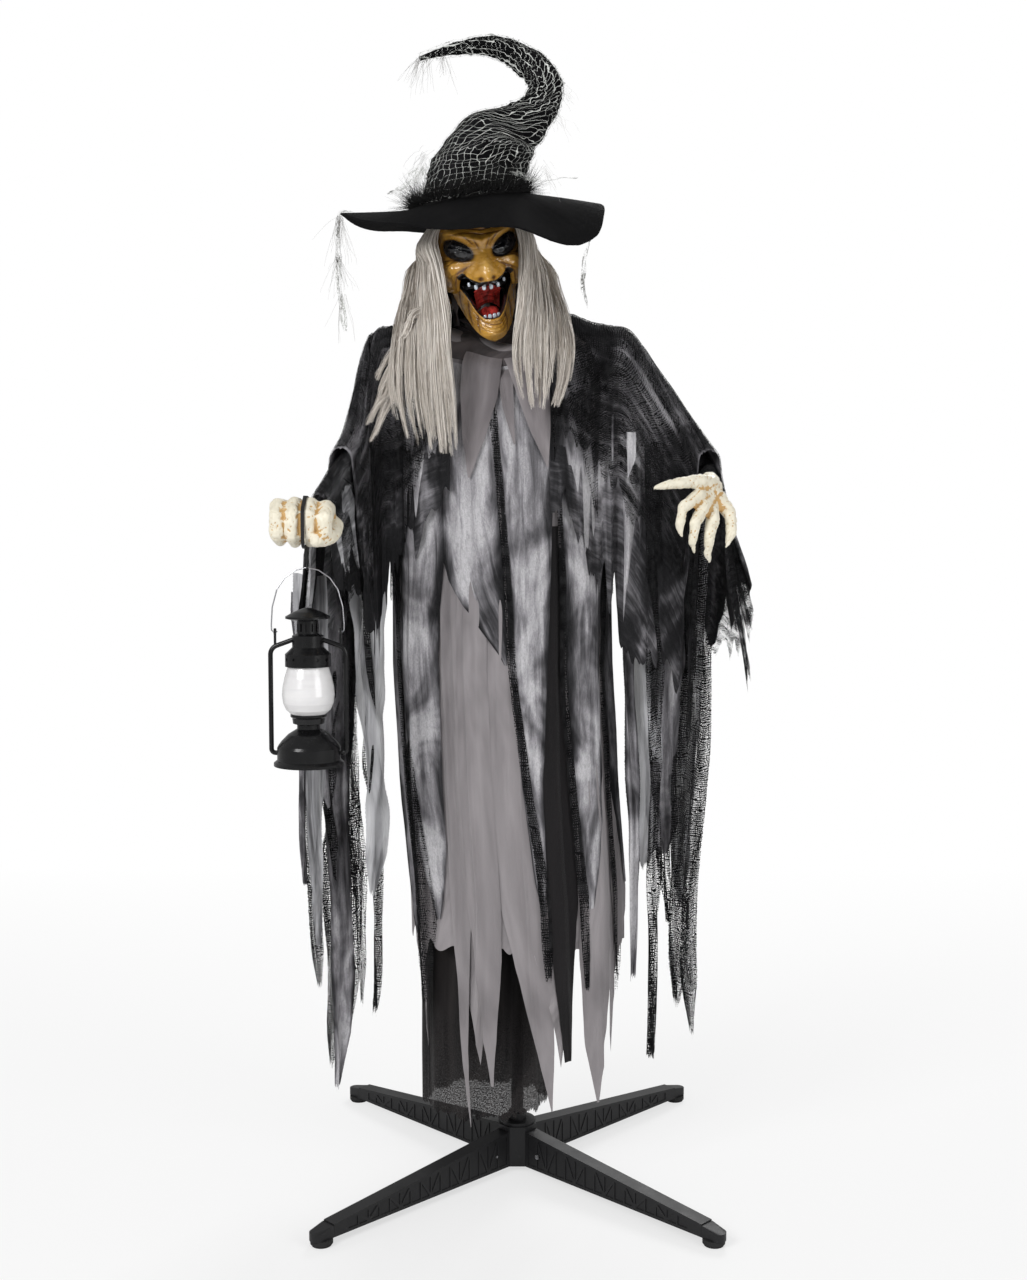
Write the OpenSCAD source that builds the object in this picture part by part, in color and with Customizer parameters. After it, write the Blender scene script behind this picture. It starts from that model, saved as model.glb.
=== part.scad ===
// Standing animated witch figure: a cross stand and pole, a turning body with
// a control box, a turning head with a moving jaw, two posable arms and a
// hanging lantern. Millimetres, +Z up, the front of the figure faces -Y.
// The origin is on the floor, on the axis of the pole.

/* [Stand] */
// Distance from the pole axis to the centre of each foot pad
leg_reach = 411; // [340:1:500]
// Height of a leg where it meets the hub
leg_h = 58; // [48:1:66]
// Width of a leg
leg_w = 25; // [22:1:30]
// Wall thickness of the moulded legs
leg_wall = 3; // [2.5:0.1:4]
// Outer diameter of the steel pole
pole_d = 20; // [18:1:26]
// Wall thickness of the pole tubes
pole_wall = 1.5; // [1.2:0.1:2]

/* [Figure] */
// Height of the shoulder bar above the floor
shoulder_h = 1345; // [1250:1:1450]
// Width of the gown across the shoulders
gown_w = 340; // [300:1:344]
// Depth of the gown from front to back at the chest
gown_depth = 216; // [200:1:240]
// Depth of the hanging folds
fold = 7; // [3:0.5:9]
// Thickness of the cloth solids
cloth_t = 2.4; // [1.8:0.1:4]
// How far the body sits to the left of the pole
body_shift = 27; // [20:1:32]
// Height of the underskirt's hem above the floor
skirt_hem = 96; // [92:1:140]

/* [Head] */
// Half the width of the skull
skull_x = 66; // [62:1:70]
// Half the depth of the skull
skull_y = 84; // [80:1:90]
// Height of the top of the skull above the middle of the head
skull_h = 112; // [106:1:118]
// Wall thickness of the mask
mask_wall = 3; // [2:0.1:3.5]
// Sideways tilt of the head, in degrees
head_roll = 9; // [4:1:10]
// Reach of the hat brim beyond the crown
brim_w = 112; // [90:1:125]
// Thickness of the felt brim
felt_t = 3; // [2:0.5:4]

/* [Arms] */
// Diameter of the steel arm rods
rod_d = 10; // [8:1:12]
// Diameter of the shoulder bar
bar_d = 16; // [14:1:18]

/* [Lantern] */
// Radius of the lantern's base flange
lamp_r = 51.5; // [50:0.5:54]
// Radius of the globe at its widest
globe_r = 38.5; // [36:0.5:40]
// Wall thickness of the globe
globe_wall = 2; // [1.5:0.1:3]
// Diameter of the wire bail
wire_d = 2; // [1.6:0.1:2.4]
// Height of the bail above its eyes
bail_rise = 95; // [85:1:120]

/* [Hidden] */
$fn = 48;
// gaps
fit = 0.1;          // a plug in its socket
run_fit = 0.05;     // a shaft in its bearing
seat = 0.3;         // a soft or curved piece on what carries it
slack = 1.5;        // round a piece that passes through cloth

// stand
pad_h = 7;
pad_r = 17;
floor_gap = 9;      // underside of the hub above the floor
hub_flat = 62;      // across the flats of the hub's core
hub_stub = 46;      // length of each stub inside a leg
leg_end_h = 20;
leg_start = hub_flat / 2;
cap_len = 34;
leg_stop = leg_reach - 14;
leg_low = pad_h + 3;
rib_pitch = 21;
rib_w = 3;
pocket_deep = 1.2;
pole_r = pole_d / 2;
collar_top = 92;
pole_foot = 16;
spigot = 45;

// body
body_x = -body_shift;
box_w = 124;
box_d = 64;
box_h = 176;
box_z = shoulder_h - 325;
box_top = box_z + box_h;
pole_top = box_z + 60;
tube_a = pole_foot + (pole_top - pole_foot) * 0.34;
tube_b = pole_foot + (pole_top - pole_foot) * 0.67;
bay_w = 76;
bay_h = 66;
bay_d = 20;
door_t = 3;
bar_r = bar_d / 2;
rod_r = rod_d / 2;
hub_l = 16;
left_hub = -gown_w / 2 + body_x - 17;    // where the lantern arm's hub starts
right_hub = gown_w / 2 + body_x + 17;    // where the reaching arm's hub starts

// head
head_x = body_x - 33;
head_y = -22;
head_z = shoulder_h + 130;
head_yaw = 5;
brim_z = skull_h - 24;                    // level of the hat's brim in the head
head_pitch = 4;
turn_x = head_x + 6;                      // axis of the head's turning
turn_y = head_y + 17;
neck_top = shoulder_h + 48;

// lantern
lamp_x = -307;
lamp_y = -250;
fist_z = shoulder_h - 279;
bail_top = fist_z - 63;
eye_h = 196.6;                            // bail eyes above the lantern's base
lamp_z = bail_top - bail_rise - eye_h;

// ---------------------------------------------------------------- helpers

function smooth(t) = let (c = min(1, max(0, t))) c * c * (3 - 2 * c);
function mix(a, b, t) = a + (b - a) * t;
function unit(v) = v / norm(v);
function bump(x, w) = exp(-(x / w) * (x / w));
function flat(rows) = [for (row = rows) for (p = row) p];
function halves(a, b, c, d) = [[a, b, c], [a, c, d]];

// A closed sheet between an outer and an inner grid of points, [row][column].
// wrap joins the last column to the first.
module sheet_solid(outer, inner, wrap = false) {
  rows = len(outer);
  m = len(outer[0]);
  o = rows * m;
  cols = wrap ? m : m - 1;
  faces = concat(
    [for (i = [0 : rows - 2], j = [0 : cols - 1])
      each halves(i * m + j, i * m + (j + 1) % m,
        (i + 1) * m + (j + 1) % m, (i + 1) * m + j)],
    [for (i = [0 : rows - 2], j = [0 : cols - 1])
      each halves(o + (i + 1) * m + j, o + (i + 1) * m + (j + 1) % m,
        o + i * m + (j + 1) % m, o + i * m + j)],
    [for (j = [0 : cols - 1])
      each halves(o + j, o + (j + 1) % m, (j + 1) % m, j)],
    [for (j = [0 : cols - 1]) let (e = (rows - 1) * m)
      each halves(e + j, e + (j + 1) % m, o + e + (j + 1) % m, o + e + j)],
    wrap ? [] : [for (i = [0 : rows - 2])
      each halves(i * m, (i + 1) * m, o + (i + 1) * m, o + i * m)],
    wrap ? [] : [for (i = [0 : rows - 2]) let (e = m - 1)
      each halves(o + i * m + e, o + (i + 1) * m + e, (i + 1) * m + e, i * m + e)]
  );
  polyhedron(points = concat(flat(outer), flat(inner)), faces = faces,
    convexity = 12);
}

// A closed solid through rings of points, with a fan on each end.
// loop joins the last ring to the first instead.
module loft(rings, loop = false) {
  n = len(rings);
  m = len(rings[0]);
  ends = [for (r = [rings[0], rings[n - 1]]) [for (k = [0 : 2])
    [for (p = r) p[k]] * [for (p = r) 1 / m]]];
  spans = loop ? n : n - 1;
  faces = concat(
    [for (i = [0 : spans - 1], j = [0 : m - 1]) let (k = (i + 1) % n)
      each halves(i * m + j, i * m + (j + 1) % m,
        k * m + (j + 1) % m, k * m + j)],
    loop ? [] : [for (j = [0 : m - 1]) [n * m, (j + 1) % m, j]],
    loop ? [] : [for (j = [0 : m - 1])
      [n * m + 1, (n - 1) * m + j, (n - 1) * m + (j + 1) % m]]
  );
  polyhedron(points = concat(flat(rings), loop ? [] : ends), faces = faces,
    convexity = 12);
}

// Rings of a round tube along points, squared to the path at each point.
function tube_rings(path, r, sides = 8, loop = false) =
  let (n = len(path))
  [for (i = [0 : n - 1])
    let (
      a = path[loop ? (i + n - 1) % n : max(0, i - 1)],
      b = path[loop ? (i + 1) % n : min(n - 1, i + 1)],
      t = unit(b - a),
      u = unit(cross(t, abs(t[1]) > 0.9 ? [1, 0, 0] : [0, 1, 0])),
      v = cross(t, u)
    )
    [for (k = [0 : sides - 1]) let (q = -360 * k / sides)
      path[i] + r * (u * cos(q) + v * sin(q))]];

// A smooth path through points, with a number of steps in each span.
function smooth_path(p, steps) =
  let (n = len(p))
  concat([for (i = [0 : n - 2], s = [0 : steps - 1])
    let (
      t = s / steps,
      a = p[max(0, i - 1)], b = p[i], c = p[i + 1], d = p[min(n - 1, i + 2)]
    )
    0.5 * (2 * b + (c - a) * t + (2 * a - 5 * b + 4 * c - d) * t * t
      + (3 * b - a - 3 * c + d) * t * t * t)], [p[n - 1]]);

// Takes what is inside as one faceted mesh.
module as_mesh() { resize([0, 0, 0]) children(); }

// A limb of rounded bones through points, each with its radius.
module bones(points, radii, facets = 7) {
  for (i = [0 : len(points) - 2])
    hull() {
      translate(points[i]) sphere(radii[i], $fn = facets);
      translate(points[i + 1]) sphere(radii[i + 1], $fn = facets);
    }
}

// ------------------------------------------------------------------ stand

module at_legs() { for (a = [45 : 90 : 315]) rotate(a) children(); }

function leg_top(x) =
  mix(floor_gap + leg_h, leg_low + leg_end_h,
    (x - leg_start) / (leg_stop - leg_start));
function leg_under(x) =
  mix(floor_gap, leg_low, (x - leg_start) / (leg_stop - leg_start));

// Side outline of a leg, drawn back from its edges by e.
module leg_outline(e = 0) {
  a = leg_start + e;
  b = leg_stop - e;
  polygon([[a, leg_under(a) + e], [b, leg_under(b) + e],
    [b, leg_top(b) - e], [a, leg_top(a) - e]]);
}

// One bay of the side truss: a plain panel, or one split by a diagonal.
module leg_bay(k) {
  a = leg_start + 6 + k * rib_pitch;
  b = a + rib_pitch - rib_w;
  e = 5;
  lo_a = leg_under(a) + e;
  lo_b = leg_under(b) + e;
  hi_a = leg_top(a) - e;
  hi_b = leg_top(b) - e;
  half = rib_w * 0.7;
  if (k % 3 == 0)
    polygon([[a, lo_a], [b, lo_b], [b, hi_b], [a, hi_a]]);
  if (k % 3 == 1) {
    polygon([[a, lo_a], [b - half, lo_b], [a, hi_a - half * 2]]);
    polygon([[a + half, hi_a], [b, lo_b + half * 2], [b, hi_b]]);
  }
  if (k % 3 == 2) {
    polygon([[a + half, lo_a], [b, lo_b], [b, hi_b - half * 2]]);
    polygon([[a, lo_a + half * 2], [b - half, hi_b], [a, hi_a]]);
  }
}

module leg() {
  bays = floor((leg_stop - leg_start - 16) / rib_pitch);
  inner = leg_w - 2 * leg_wall;
  difference() {
    rotate([90, 0, 0]) translate([0, 0, -leg_w / 2])
      linear_extrude(leg_w) leg_outline();
    // open underside
    rotate([90, 0, 0]) translate([0, 0, -inner / 2])
      linear_extrude(inner)
        polygon([
          [leg_start - 1, floor_gap - 2], [leg_stop + 1, leg_low - 2],
          [leg_stop + 1, leg_top(leg_stop + 1) - leg_wall],
          [leg_start - 1, leg_top(leg_start - 1) - leg_wall]]);
    // truss pockets on both sides
    for (s = [-1, 1])
      rotate([90, 0, 0])
        translate([0, 0, s * (leg_w / 2 - pocket_deep / 2) - pocket_deep / 2])
          linear_extrude(pocket_deep)
            for (k = [0 : bays - 1]) leg_bay(k);
    // screw hole from the side into the hub's stub
    translate([leg_start + 28, 0, floor_gap + leg_h * 0.42])
      rotate([90, 0, 0]) cylinder(r = 2.2, h = leg_w + 2, center = true);
  }
}

module leg_at(a) { color([0.06, 0.06, 0.065]) rotate(a) leg(); }

module base_hub() {
  stub_w = leg_w - 2 * leg_wall - 2 * fit;
  color([0.05, 0.05, 0.055]) difference() {
    union() {
      // eight-sided core, its flats square to the legs
      translate([0, 0, floor_gap]) rotate(22.5)
        cylinder(r = hub_flat / 2 / cos(22.5), h = leg_h + 8, $fn = 8);
      // flange and collar round the pole
      translate([0, 0, floor_gap + leg_h + 8]) cylinder(r = 29, h = 5);
      translate([0, 0, floor_gap + leg_h + 8])
        cylinder(r = pole_r + 5, h = collar_top - floor_gap - leg_h - 8);
      at_legs() rotate([90, 0, 0]) translate([0, 0, -stub_w / 2])
        linear_extrude(stub_w) polygon([
          [hub_flat / 2 - 8, floor_gap + 5],
          [leg_start + hub_stub, floor_gap + 8],
          [leg_start + hub_stub,
            leg_top(leg_start + hub_stub) - leg_wall - fit * 2],
          [hub_flat / 2 - 8,
            leg_top(hub_flat / 2 - 8) - leg_wall - fit * 2]]);
    }
    translate([0, 0, pole_foot]) cylinder(r = pole_r + fit, h = 200);
    at_legs() translate([leg_start + 28, 0, floor_gap + leg_h * 0.42])
      rotate([90, 0, 0]) cylinder(r = 2.2, h = leg_w + 2, center = true);
  }
}

module foot_caps() {
  color([0.05, 0.05, 0.055]) at_legs() difference() {
    union() {
      hull() {
        translate([leg_stop + seat, -leg_w / 2, leg_low])
          cube([2, leg_w, leg_end_h - 2]);
        translate([leg_stop + cap_len - leg_w / 2, 0, leg_low])
          cylinder(r = leg_w / 2, h = leg_end_h - 8, $fn = 32);
      }
      // plug inside the leg's open end
      translate([leg_stop - 5.6, -leg_w / 2 + leg_wall + fit, leg_low + 1])
        cube([6.4, leg_w - 2 * leg_wall - 2 * fit, leg_end_h - leg_wall - 5]);
    }
    translate([leg_reach, 0, leg_low - 1]) cylinder(r = 4.2, h = 9);
  }
}

module foot_pads() {
  color([0.09, 0.09, 0.09]) at_legs() translate([leg_reach, 0, 0]) {
    cylinder(r = pad_r - 2, h = 3);
    translate([0, 0, 3]) cylinder(r = pad_r, h = leg_low - 3);
    translate([0, 0, leg_low - 0.5]) cylinder(r = 4.2 - fit, h = 6);
  }
}

module leg_screws() {
  z = floor_gap + leg_h * 0.42;
  color("silver") at_legs() translate([leg_start + 28, 0, z]) {
    rotate([90, 0, 0]) cylinder(r = 2.2 - fit, h = leg_w, center = true);
    translate([0, -leg_w / 2, 0]) rotate([90, 0, 0]) cylinder(r = 4, h = 2.2);
  }
}

// A pole tube from z a to z b, with a reduced spigot below a if it has one.
module pole_tube(a, b, has_spigot) {
  inner = pole_r - pole_wall;
  color([0.07, 0.07, 0.075]) difference() {
    union() {
      translate([0, 0, a]) cylinder(r = pole_r, h = b - a);
      if (has_spigot) translate([0, 0, a - spigot])
        cylinder(r = inner - fit, h = spigot + 1);
    }
    translate([0, 0, a - spigot - 1]) cylinder(r = inner - fit - 1.3,
      h = b - a + spigot + 2);
    translate([0, 0, a + 4]) cylinder(r = inner, h = b - a);
    if (!has_spigot) translate([0, 0, a - 1])
      cylinder(r = inner, h = b - a + 2);
  }
}

// ------------------------------------------------------------------- body

module box_screws_at() {
  for (x = [-1, 1], z = [8, box_h - 8])
    translate([body_x + x * (box_w / 2 - 8), 0, box_z + z]) children();
}

module control_box() {
  color([0.12, 0.12, 0.13]) difference() {
    union() {
      translate([body_x - box_w / 2, -box_d / 2, box_z])
        cube([box_w, box_d - 3, box_h]);
      // boss round the pole and socket for the neck post
      translate([0, 0, box_z - 22]) cylinder(r = pole_r + 7, h = 30);
      translate([body_x, 0, box_top - 2]) cylinder(r = 19, h = 20);
    }
    // the pole's bearing
    translate([0, 0, box_z - 30])
      cylinder(r = pole_r + run_fit, h = pole_top - box_z + 30 + 1);
    // seat of the neck post
    translate([body_x, 0, box_top - 12]) cylinder(r = 11 + fit, h = 40);
    // front cavity for the board and speaker, closed by the cover
    translate([body_x - box_w / 2 + 5, -box_d / 2 - 1, box_z + 78])
      cube([box_w - 10, 17, box_h - 98]);
    // battery bay and the recess of its door, at the back
    translate([body_x - 20 - bay_w / 2, box_d / 2 - 3 - bay_d, box_z + 84])
      cube([bay_w, bay_d + 1, bay_h]);
    translate([body_x - 20 - bay_w / 2 - 3, box_d / 2 - 3 - door_t - seat,
      box_z + 84 - 3]) cube([bay_w + 6, door_t + 1 + seat, bay_h + 6]);
    // slot of the mode switch
    translate([body_x + 45 - 4, box_d / 2 - 3 - 8, box_z + 118])
      cube([8, 9, 20]);
    box_screws_at() translate([0, -box_d / 2 - 1, 0]) rotate([-90, 0, 0])
      cylinder(r = 1.6, h = 14);
  }
}

module box_cover() {
  color([0.14, 0.14, 0.15]) difference() {
    translate([body_x - box_w / 2, -box_d / 2 - 3, box_z])
      cube([box_w, 3, box_h]);
    // speaker grille
    for (i = [-3 : 3], j = [-3 : 3]) if (i * i + j * j < 13)
      translate([body_x + i * 6, -box_d / 2 - 4, box_z + 118 + j * 6])
        rotate([-90, 0, 0]) cylinder(r = 1.5, h = 5);
    box_screws_at() translate([0, -box_d / 2 - 4, 0]) rotate([-90, 0, 0])
      cylinder(r = 1.8, h = 5);
  }
}

module speaker() {
  color([0.2, 0.2, 0.22])
    translate([body_x, -box_d / 2, box_z + 118]) rotate([-90, 0, 0]) {
      cylinder(r = 26, h = 3);
      translate([0, 0, 3]) cylinder(r1 = 24, r2 = 12, h = 5);
      translate([0, 0, 8]) cylinder(r = 12, h = 4);
    }
}

module circuit_board() {
  color([0.05, 0.3, 0.12])
    translate([body_x - 50, -box_d / 2 + 14.4, box_z + 80])
      cube([100, 1.6, 74]);
}

module batteries() {
  for (k = [0 : 3])
    translate([body_x - 20 - 33 + k * 16.6 + 8.3, box_d / 2 - 3 - bay_d + 7.6,
      box_z + 84 + 7]) {
      color([0.75, 0.45, 0.15]) cylinder(r = 7.2, h = 48);
      color([0.7, 0.7, 0.72]) translate([0, 0, 48]) cylinder(r = 2.7, h = 2);
    }
}

// Hinged on its lower edge, so it swings back and down.
module battery_door() {
  x = body_x - 20 - bay_w / 2 - 3 + seat;
  w = bay_w + 6 - 2 * seat;
  color([0.15, 0.15, 0.16]) {
    translate([x, box_d / 2 - 3 - door_t, box_z + 84 - 3 + 2.2])
      cube([w, door_t, bay_h + 6 - 2.2 - seat]);
    for (k = [0 : 4]) translate([x + 26, box_d / 2 - 3,
      box_z + 132 + k * 3]) cube([30, 0.8, 1.4]);
  }
}

module mode_switch() {
  color([0.75, 0.75, 0.72]) {
    translate([body_x + 45 - 3.7, box_d / 2 - 3 - 5, box_z + 124])
      cube([7.4, 5, 8]);
    translate([body_x + 45 - 2.5, box_d / 2 - 3.5, box_z + 125.5])
      cube([5, 4, 5]);
  }
}

module neck_post() {
  head_end = [turn_x, turn_y, neck_top];
  low = [body_x, 0, shoulder_h + 14];
  color([0.08, 0.08, 0.085]) difference() {
    union() {
      translate([body_x, 0, box_top - 12])
        cylinder(r = 11, h = shoulder_h + 14 - box_top + 12);
      // cross clamp on the shoulder bar
      translate([body_x, 0, shoulder_h]) rotate([0, 90, 0])
        cylinder(r = bar_r + 5, h = 44, center = true);
      hull() {
        translate(low - [0, 0, 4]) cylinder(r = 11, h = 4, $fn = 32);
        translate(head_end - [0, 0, 16]) cylinder(r = 11, h = 4, $fn = 32);
      }
      translate(head_end - [0, 0, 13]) cylinder(r = 11, h = 13);
    }
    translate([body_x, 0, shoulder_h]) rotate([0, 90, 0])
      cylinder(r = bar_r + fit, h = 60, center = true);
  }
}

module shoulder_bar() {
  a = left_hub - hub_l - seat;
  b = right_hub + hub_l + seat;
  color([0.08, 0.08, 0.085]) translate([a, 0, shoulder_h])
    rotate([0, 90, 0]) difference() {
      cylinder(r = bar_r, h = b - a);
      translate([0, 0, -1]) cylinder(r = bar_r - 1.5, h = b - a + 2);
    }
}

module bar_end_caps() {
  color([0.1, 0.1, 0.1]) for (s = [-1, 1]) {
    x = s < 0 ? left_hub - hub_l - seat : right_hub + hub_l + seat;
    translate([x, 0, shoulder_h]) rotate([0, 90 * s, 0]) {
      cylinder(r = bar_r + 1.5, h = 3);
      translate([0, 0, -8]) cylinder(r = bar_r - 1.5 - fit, h = 8.5);
    }
  }
}

// Gearmotor on top of the neck post: its shaft carries the head.
module head_motor() {
  color([0.55, 0.55, 0.57]) translate([turn_x, turn_y, neck_top]) {
    cylinder(r = 19, h = 22);
    translate([0, 0, 22]) cylinder(r = 6, h = 3);
    translate([0, 0, 25]) cylinder(r = 3, h = 13);
  }
}

// ------------------------------------------------------------------ cloth
// Every cloth layer is one surface with its own offset, so that the layers
// stay parallel. u is 0 at the shoulder bar and 1 at the underskirt's hem.

cols = 40;
drop = shoulder_h - 10 - skirt_hem;
function level(u) = shoulder_h - 10 - u * drop;
half_w = gown_w / 2;
half_d = gown_depth / 2;

function gown_a(u) = lookup(u, [[-0.012, 60], [-0.006, 95],
  [0.0024, half_w - 35], [0.02, half_w - 10], [0.06, half_w - 1],
  [0.3, half_w], [0.7, half_w + 1], [1, half_w - 6]]);
function gown_b(u) = lookup(u, [[-0.012, 50], [-0.006, 62], [0.0024, 76],
  [0.02, 90], [0.06, half_d - 4], [0.2, half_d + 4], [0.4, half_d + 12],
  [0.7, half_d + 22], [1, half_d + 24]]);
function gown_x(u) = body_x + lookup(u, [[-0.012, -11], [0, -1], [0.4, 1],
  [0.55, 10], [0.7, 24], [1, 34]]);
// the cloth climbs over the shoulders at each side
function gown_rise(u) = lookup(u, [[-0.012, 22], [-0.006, 36], [0.0024, 50],
  [0.02, 46], [0.06, 26], [0.12, 8], [0.2, 0]]);
function fold_at(a, u) = fold * smooth((u - 0.01) / 0.5)
  * (cos(10 * a) + 0.45 * cos(5 * a + 40) - 0.6);

// Layers are offset outwards on the body and upwards over the shoulders.
function gown_pt(a, u, off) =
  let (
    side = pow(abs(cos(a)), 1.5),
    w = mix(1, smooth((u + 0.004) / 0.1), 0.4 + 0.6 * side),
    f = fold_at(a, u) + off * w,
    up = off * sqrt(1 - w * w)
  )
  [gown_x(u) + (gown_a(u) + f) * cos(a),
    (gown_b(u) + f) * sin(a),
    level(u) + gown_rise(u) * side + up
      + (sin(a) > 0 ? 18 * sin(a) * (1 - smooth(u / 0.08)) : 0)];

upper_levels = [-0.012, -0.006, 0.0024, 0.02, 0.06, 0.13, 0.22, 0.36, 0.52,
  0.67];
// hem of the gown at column j: eight long points of uneven depth
function hem_u(j) =
  let (p = j % 5, k = floor(j / 5))
  0.76 + (p == 2 ? 0.155 + 0.03 * sin(137 * k) : p == 1 || p == 3 ? 0.07 : 0);
function gown_levels(j) = concat(upper_levels,
  [for (t = [1 : 2]) mix(0.67, hem_u(j), t / 2)]);

function gown_grid(off) = [for (i = [0 : len(upper_levels) + 1])
  [for (j = [0 : cols - 1]) gown_pt(360 * j / cols, gown_levels(j)[i], off)]];

module gown() {
  color([0.42, 0.40, 0.42]) as_mesh() difference() {
    sheet_solid(gown_grid(0), gown_grid(-cloth_t), wrap = true);
    // armholes for the shoulder bar
    translate([body_x, 0, shoulder_h]) rotate([0, 90, 0])
      cylinder(r = bar_r + slack, h = 2 * gown_w, center = true, $fn = 24);
  }
}

skirt_top = 0.36;
skirt_levels = [0.36, 0.52, 0.67, 0.8, 0.9, 1];
function skirt_pt(j, u, off) =
  let (
    a = 360 * j / cols,
    s = smooth((u - skirt_top) / 0.4),
    g = gown_pt(a, u, -cloth_t - seat + off),
    w = 4 * cos(10 * a) * s
  )
  [mix(g[0], body_x - 26 + (98 + w + off) * cos(a), s),
    mix(g[1], (84 + w + off) * sin(a), s), level(u)];
module underskirt() {
  rings = [for (o = [0, -cloth_t]) [for (u = skirt_levels)
    [for (j = [0 : cols - 1]) skirt_pt(j, u, o)]]];
  color([0.05, 0.045, 0.05]) sheet_solid(rings[0], rings[1], wrap = true);
}

all_levels = concat(upper_levels, [0.76, 0.85, 0.93, 0.985]);
// A hanging strip over gown columns from j0 to j1 and levels from i0 to i1.
// It starts close on the gown, stands further off lower down, and ends in a
// point.
module strip(j0, j1, i0, i1, lift, last = 1) {
  n = j1 - j0;
  mid = (j0 + j1) / 2;
  base = 0.3;
  out = [for (o = [cloth_t, 0]) [for (i = [i0 : i1])
    let (
      t = (i - i0) / (i1 - i0),
      narrow = i == i1 ? 0.12 : i == i1 - 1 ? 0.6 : 1,
      u = i == i1 ? mix(all_levels[i - 1], all_levels[i], last) : all_levels[i]
    )
    [for (j = [0 : n]) gown_pt(360 * mix(mid, j0 + j, narrow) / cols, u,
      base + o + lift * smooth(t * 3))]]];
  sheet_solid(out[0], out[1]);
}

module dyed_panels() {
  color([0.55, 0.55, 0.57]) {
    strip(21, 23, 4, 11, 2);
    strip(24, 28, 4, 12, 2, 0.3);
    strip(31, 33, 4, 12, 2);
    strip(34, 37, 4, 11, 2);
    strip(1, 3, 4, 11, 2);
    strip(5, 8, 4, 12, 2);
    strip(11, 15, 4, 11, 2);
    strip(17, 19, 4, 12, 2);
  }
}

module gauze_strips() {
  color([0.03, 0.03, 0.03]) {
    strip(23, 24, 4, 13, 4.6);
    strip(29, 30, 4, 12, 4.6);
    strip(33, 34, 4, 13, 4.6);
    strip(37, 38, 4, 13, 4.6, 0.5);
    strip(9, 10, 4, 13, 4.6);
    strip(15, 16, 4, 13, 4.6);
  }
}

// Plain pointed lapels hanging from the neckline at the front.
module chest_points() {
  color([0.5, 0.49, 0.5]) {
    strip(28, 29, 4, 7, 6.8, 0.2);
    strip(30, 31, 4, 7, 6.8, 0.2);
  }
}

// Loose cloth gathered round the neck: it lies on the gown and climbs.
module neck_cloth() {
  us = [0.02, 0.0024, -0.006, -0.012];
  n = 3;
  rings = [for (o = [cloth_t, 0]) concat(
    [for (u = us) [for (j = [0 : cols - 1])
      gown_pt(360 * j / cols, u, 0.9 + o)]],
    [for (i = [1 : n]) [for (j = [0 : cols - 1])
      let (
        a = 360 * j / cols, t = i / n,
        g = gown_pt(a, -0.012, 0.9 + o),
        r = mix(42, 28, t) + 2 * sin(t * 900) + o + 1.2 * cos(5 * a + 50 * i)
      )
      [mix(g[0], turn_x + r * cos(a), smooth(t * 1.5)),
        mix(g[1], turn_y * t + r * sin(a), smooth(t * 1.5)),
        mix(g[2] + 3 * t, neck_top - 16, t)]]])];
  color([0.3, 0.29, 0.3]) sheet_solid(rings[1], rings[0], wrap = true);
}

// Foam pads on the shoulder bar that carry the gown.
module shoulder_pads() {
  color([0.25, 0.25, 0.26]) as_mesh() difference() {
    for (side = [0, cols / 2]) {
      rings = [for (o = [0, -22]) [for (u = [0.0024, 0.02, 0.06])
        [for (j = [-3 : 3])
          gown_pt(360 * (j + side) / cols, u, -cloth_t - 0.8 + o)]]];
      sheet_solid(rings[0], rings[1]);
    }
    translate([body_x, 0, shoulder_h]) rotate([0, 90, 0])
      cylinder(r = bar_r + seat, h = 2 * gown_w, center = true, $fn = 24);
  }
}

// ------------------------------------------------------------------- head
// Head pieces are modelled upright about the middle of the skull, facing -Y.

module head_place() {
  translate([head_x, head_y, head_z])
    rotate([0, 0, head_yaw]) rotate([0, -head_roll, 0])
      rotate([head_pitch, 0, 0]) children();
}

// The same placing as a function, for what is modelled in world points.
function head_pt(p) =
  let (
    a = [p[0], p[1] * cos(head_pitch) - p[2] * sin(head_pitch),
      p[1] * sin(head_pitch) + p[2] * cos(head_pitch)],
    b = [a[0] * cos(head_roll) - a[2] * sin(head_roll), a[1],
      a[0] * sin(head_roll) + a[2] * cos(head_roll)]
  )
  [b[0] * cos(head_yaw) - b[1] * sin(head_yaw) + head_x,
    b[0] * sin(head_yaw) + b[1] * cos(head_yaw) + head_y, b[2] + head_z];

// half width and depth of the face at height z
function face_w(z) = lookup(z, [[-48, 55], [-30, 62], [-8, 67], [15, 66],
  [40, 65], [62, 59], [80, 48]]);
function face_d(z) = lookup(z, [[-48, 83], [-30, 84], [-8, 84], [15, 82],
  [40, 84], [62, 76], [80, 64]]);
// sculpted relief of the mask, outwards, at angle q from the nose
function relief(q, z) =
  // nose: a ridge that widens and drops to its tip
  20 * bump(q, mix(8, 12, smooth((10 - z) / 40))) * smooth((26 - z) / 48)
    * smooth((z + 44) / 12)
  // nostril wings
  + 5 * (bump(q - 14, 6) + bump(q + 14, 6)) * bump(z + 26, 8)
  // brow ridges, low in the middle and sweeping up
  + 8 * (bump(z - 18 - 0.42 * abs(q), 8)) * bump(q, 55)
  // cheeks
  + 9 * (bump(q - 50, 18) + bump(q + 50, 18)) * bump(z + 12, 15)
  // eye sockets
  - 9 * (bump(q - 27, 13) + bump(q + 27, 13)) * bump(z - 8, 12)
  // folds beside the mouth
  - 3.5 * (bump(abs(q) - 33 + (z + 20) * 0.5, 5)) * bump(z + 22, 14);
function face_pt(q, z, off) = let (r = relief(q, z) + off)
  [(face_w(z) + r) * sin(q), -(face_d(z) + r) * cos(q), z];
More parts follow.
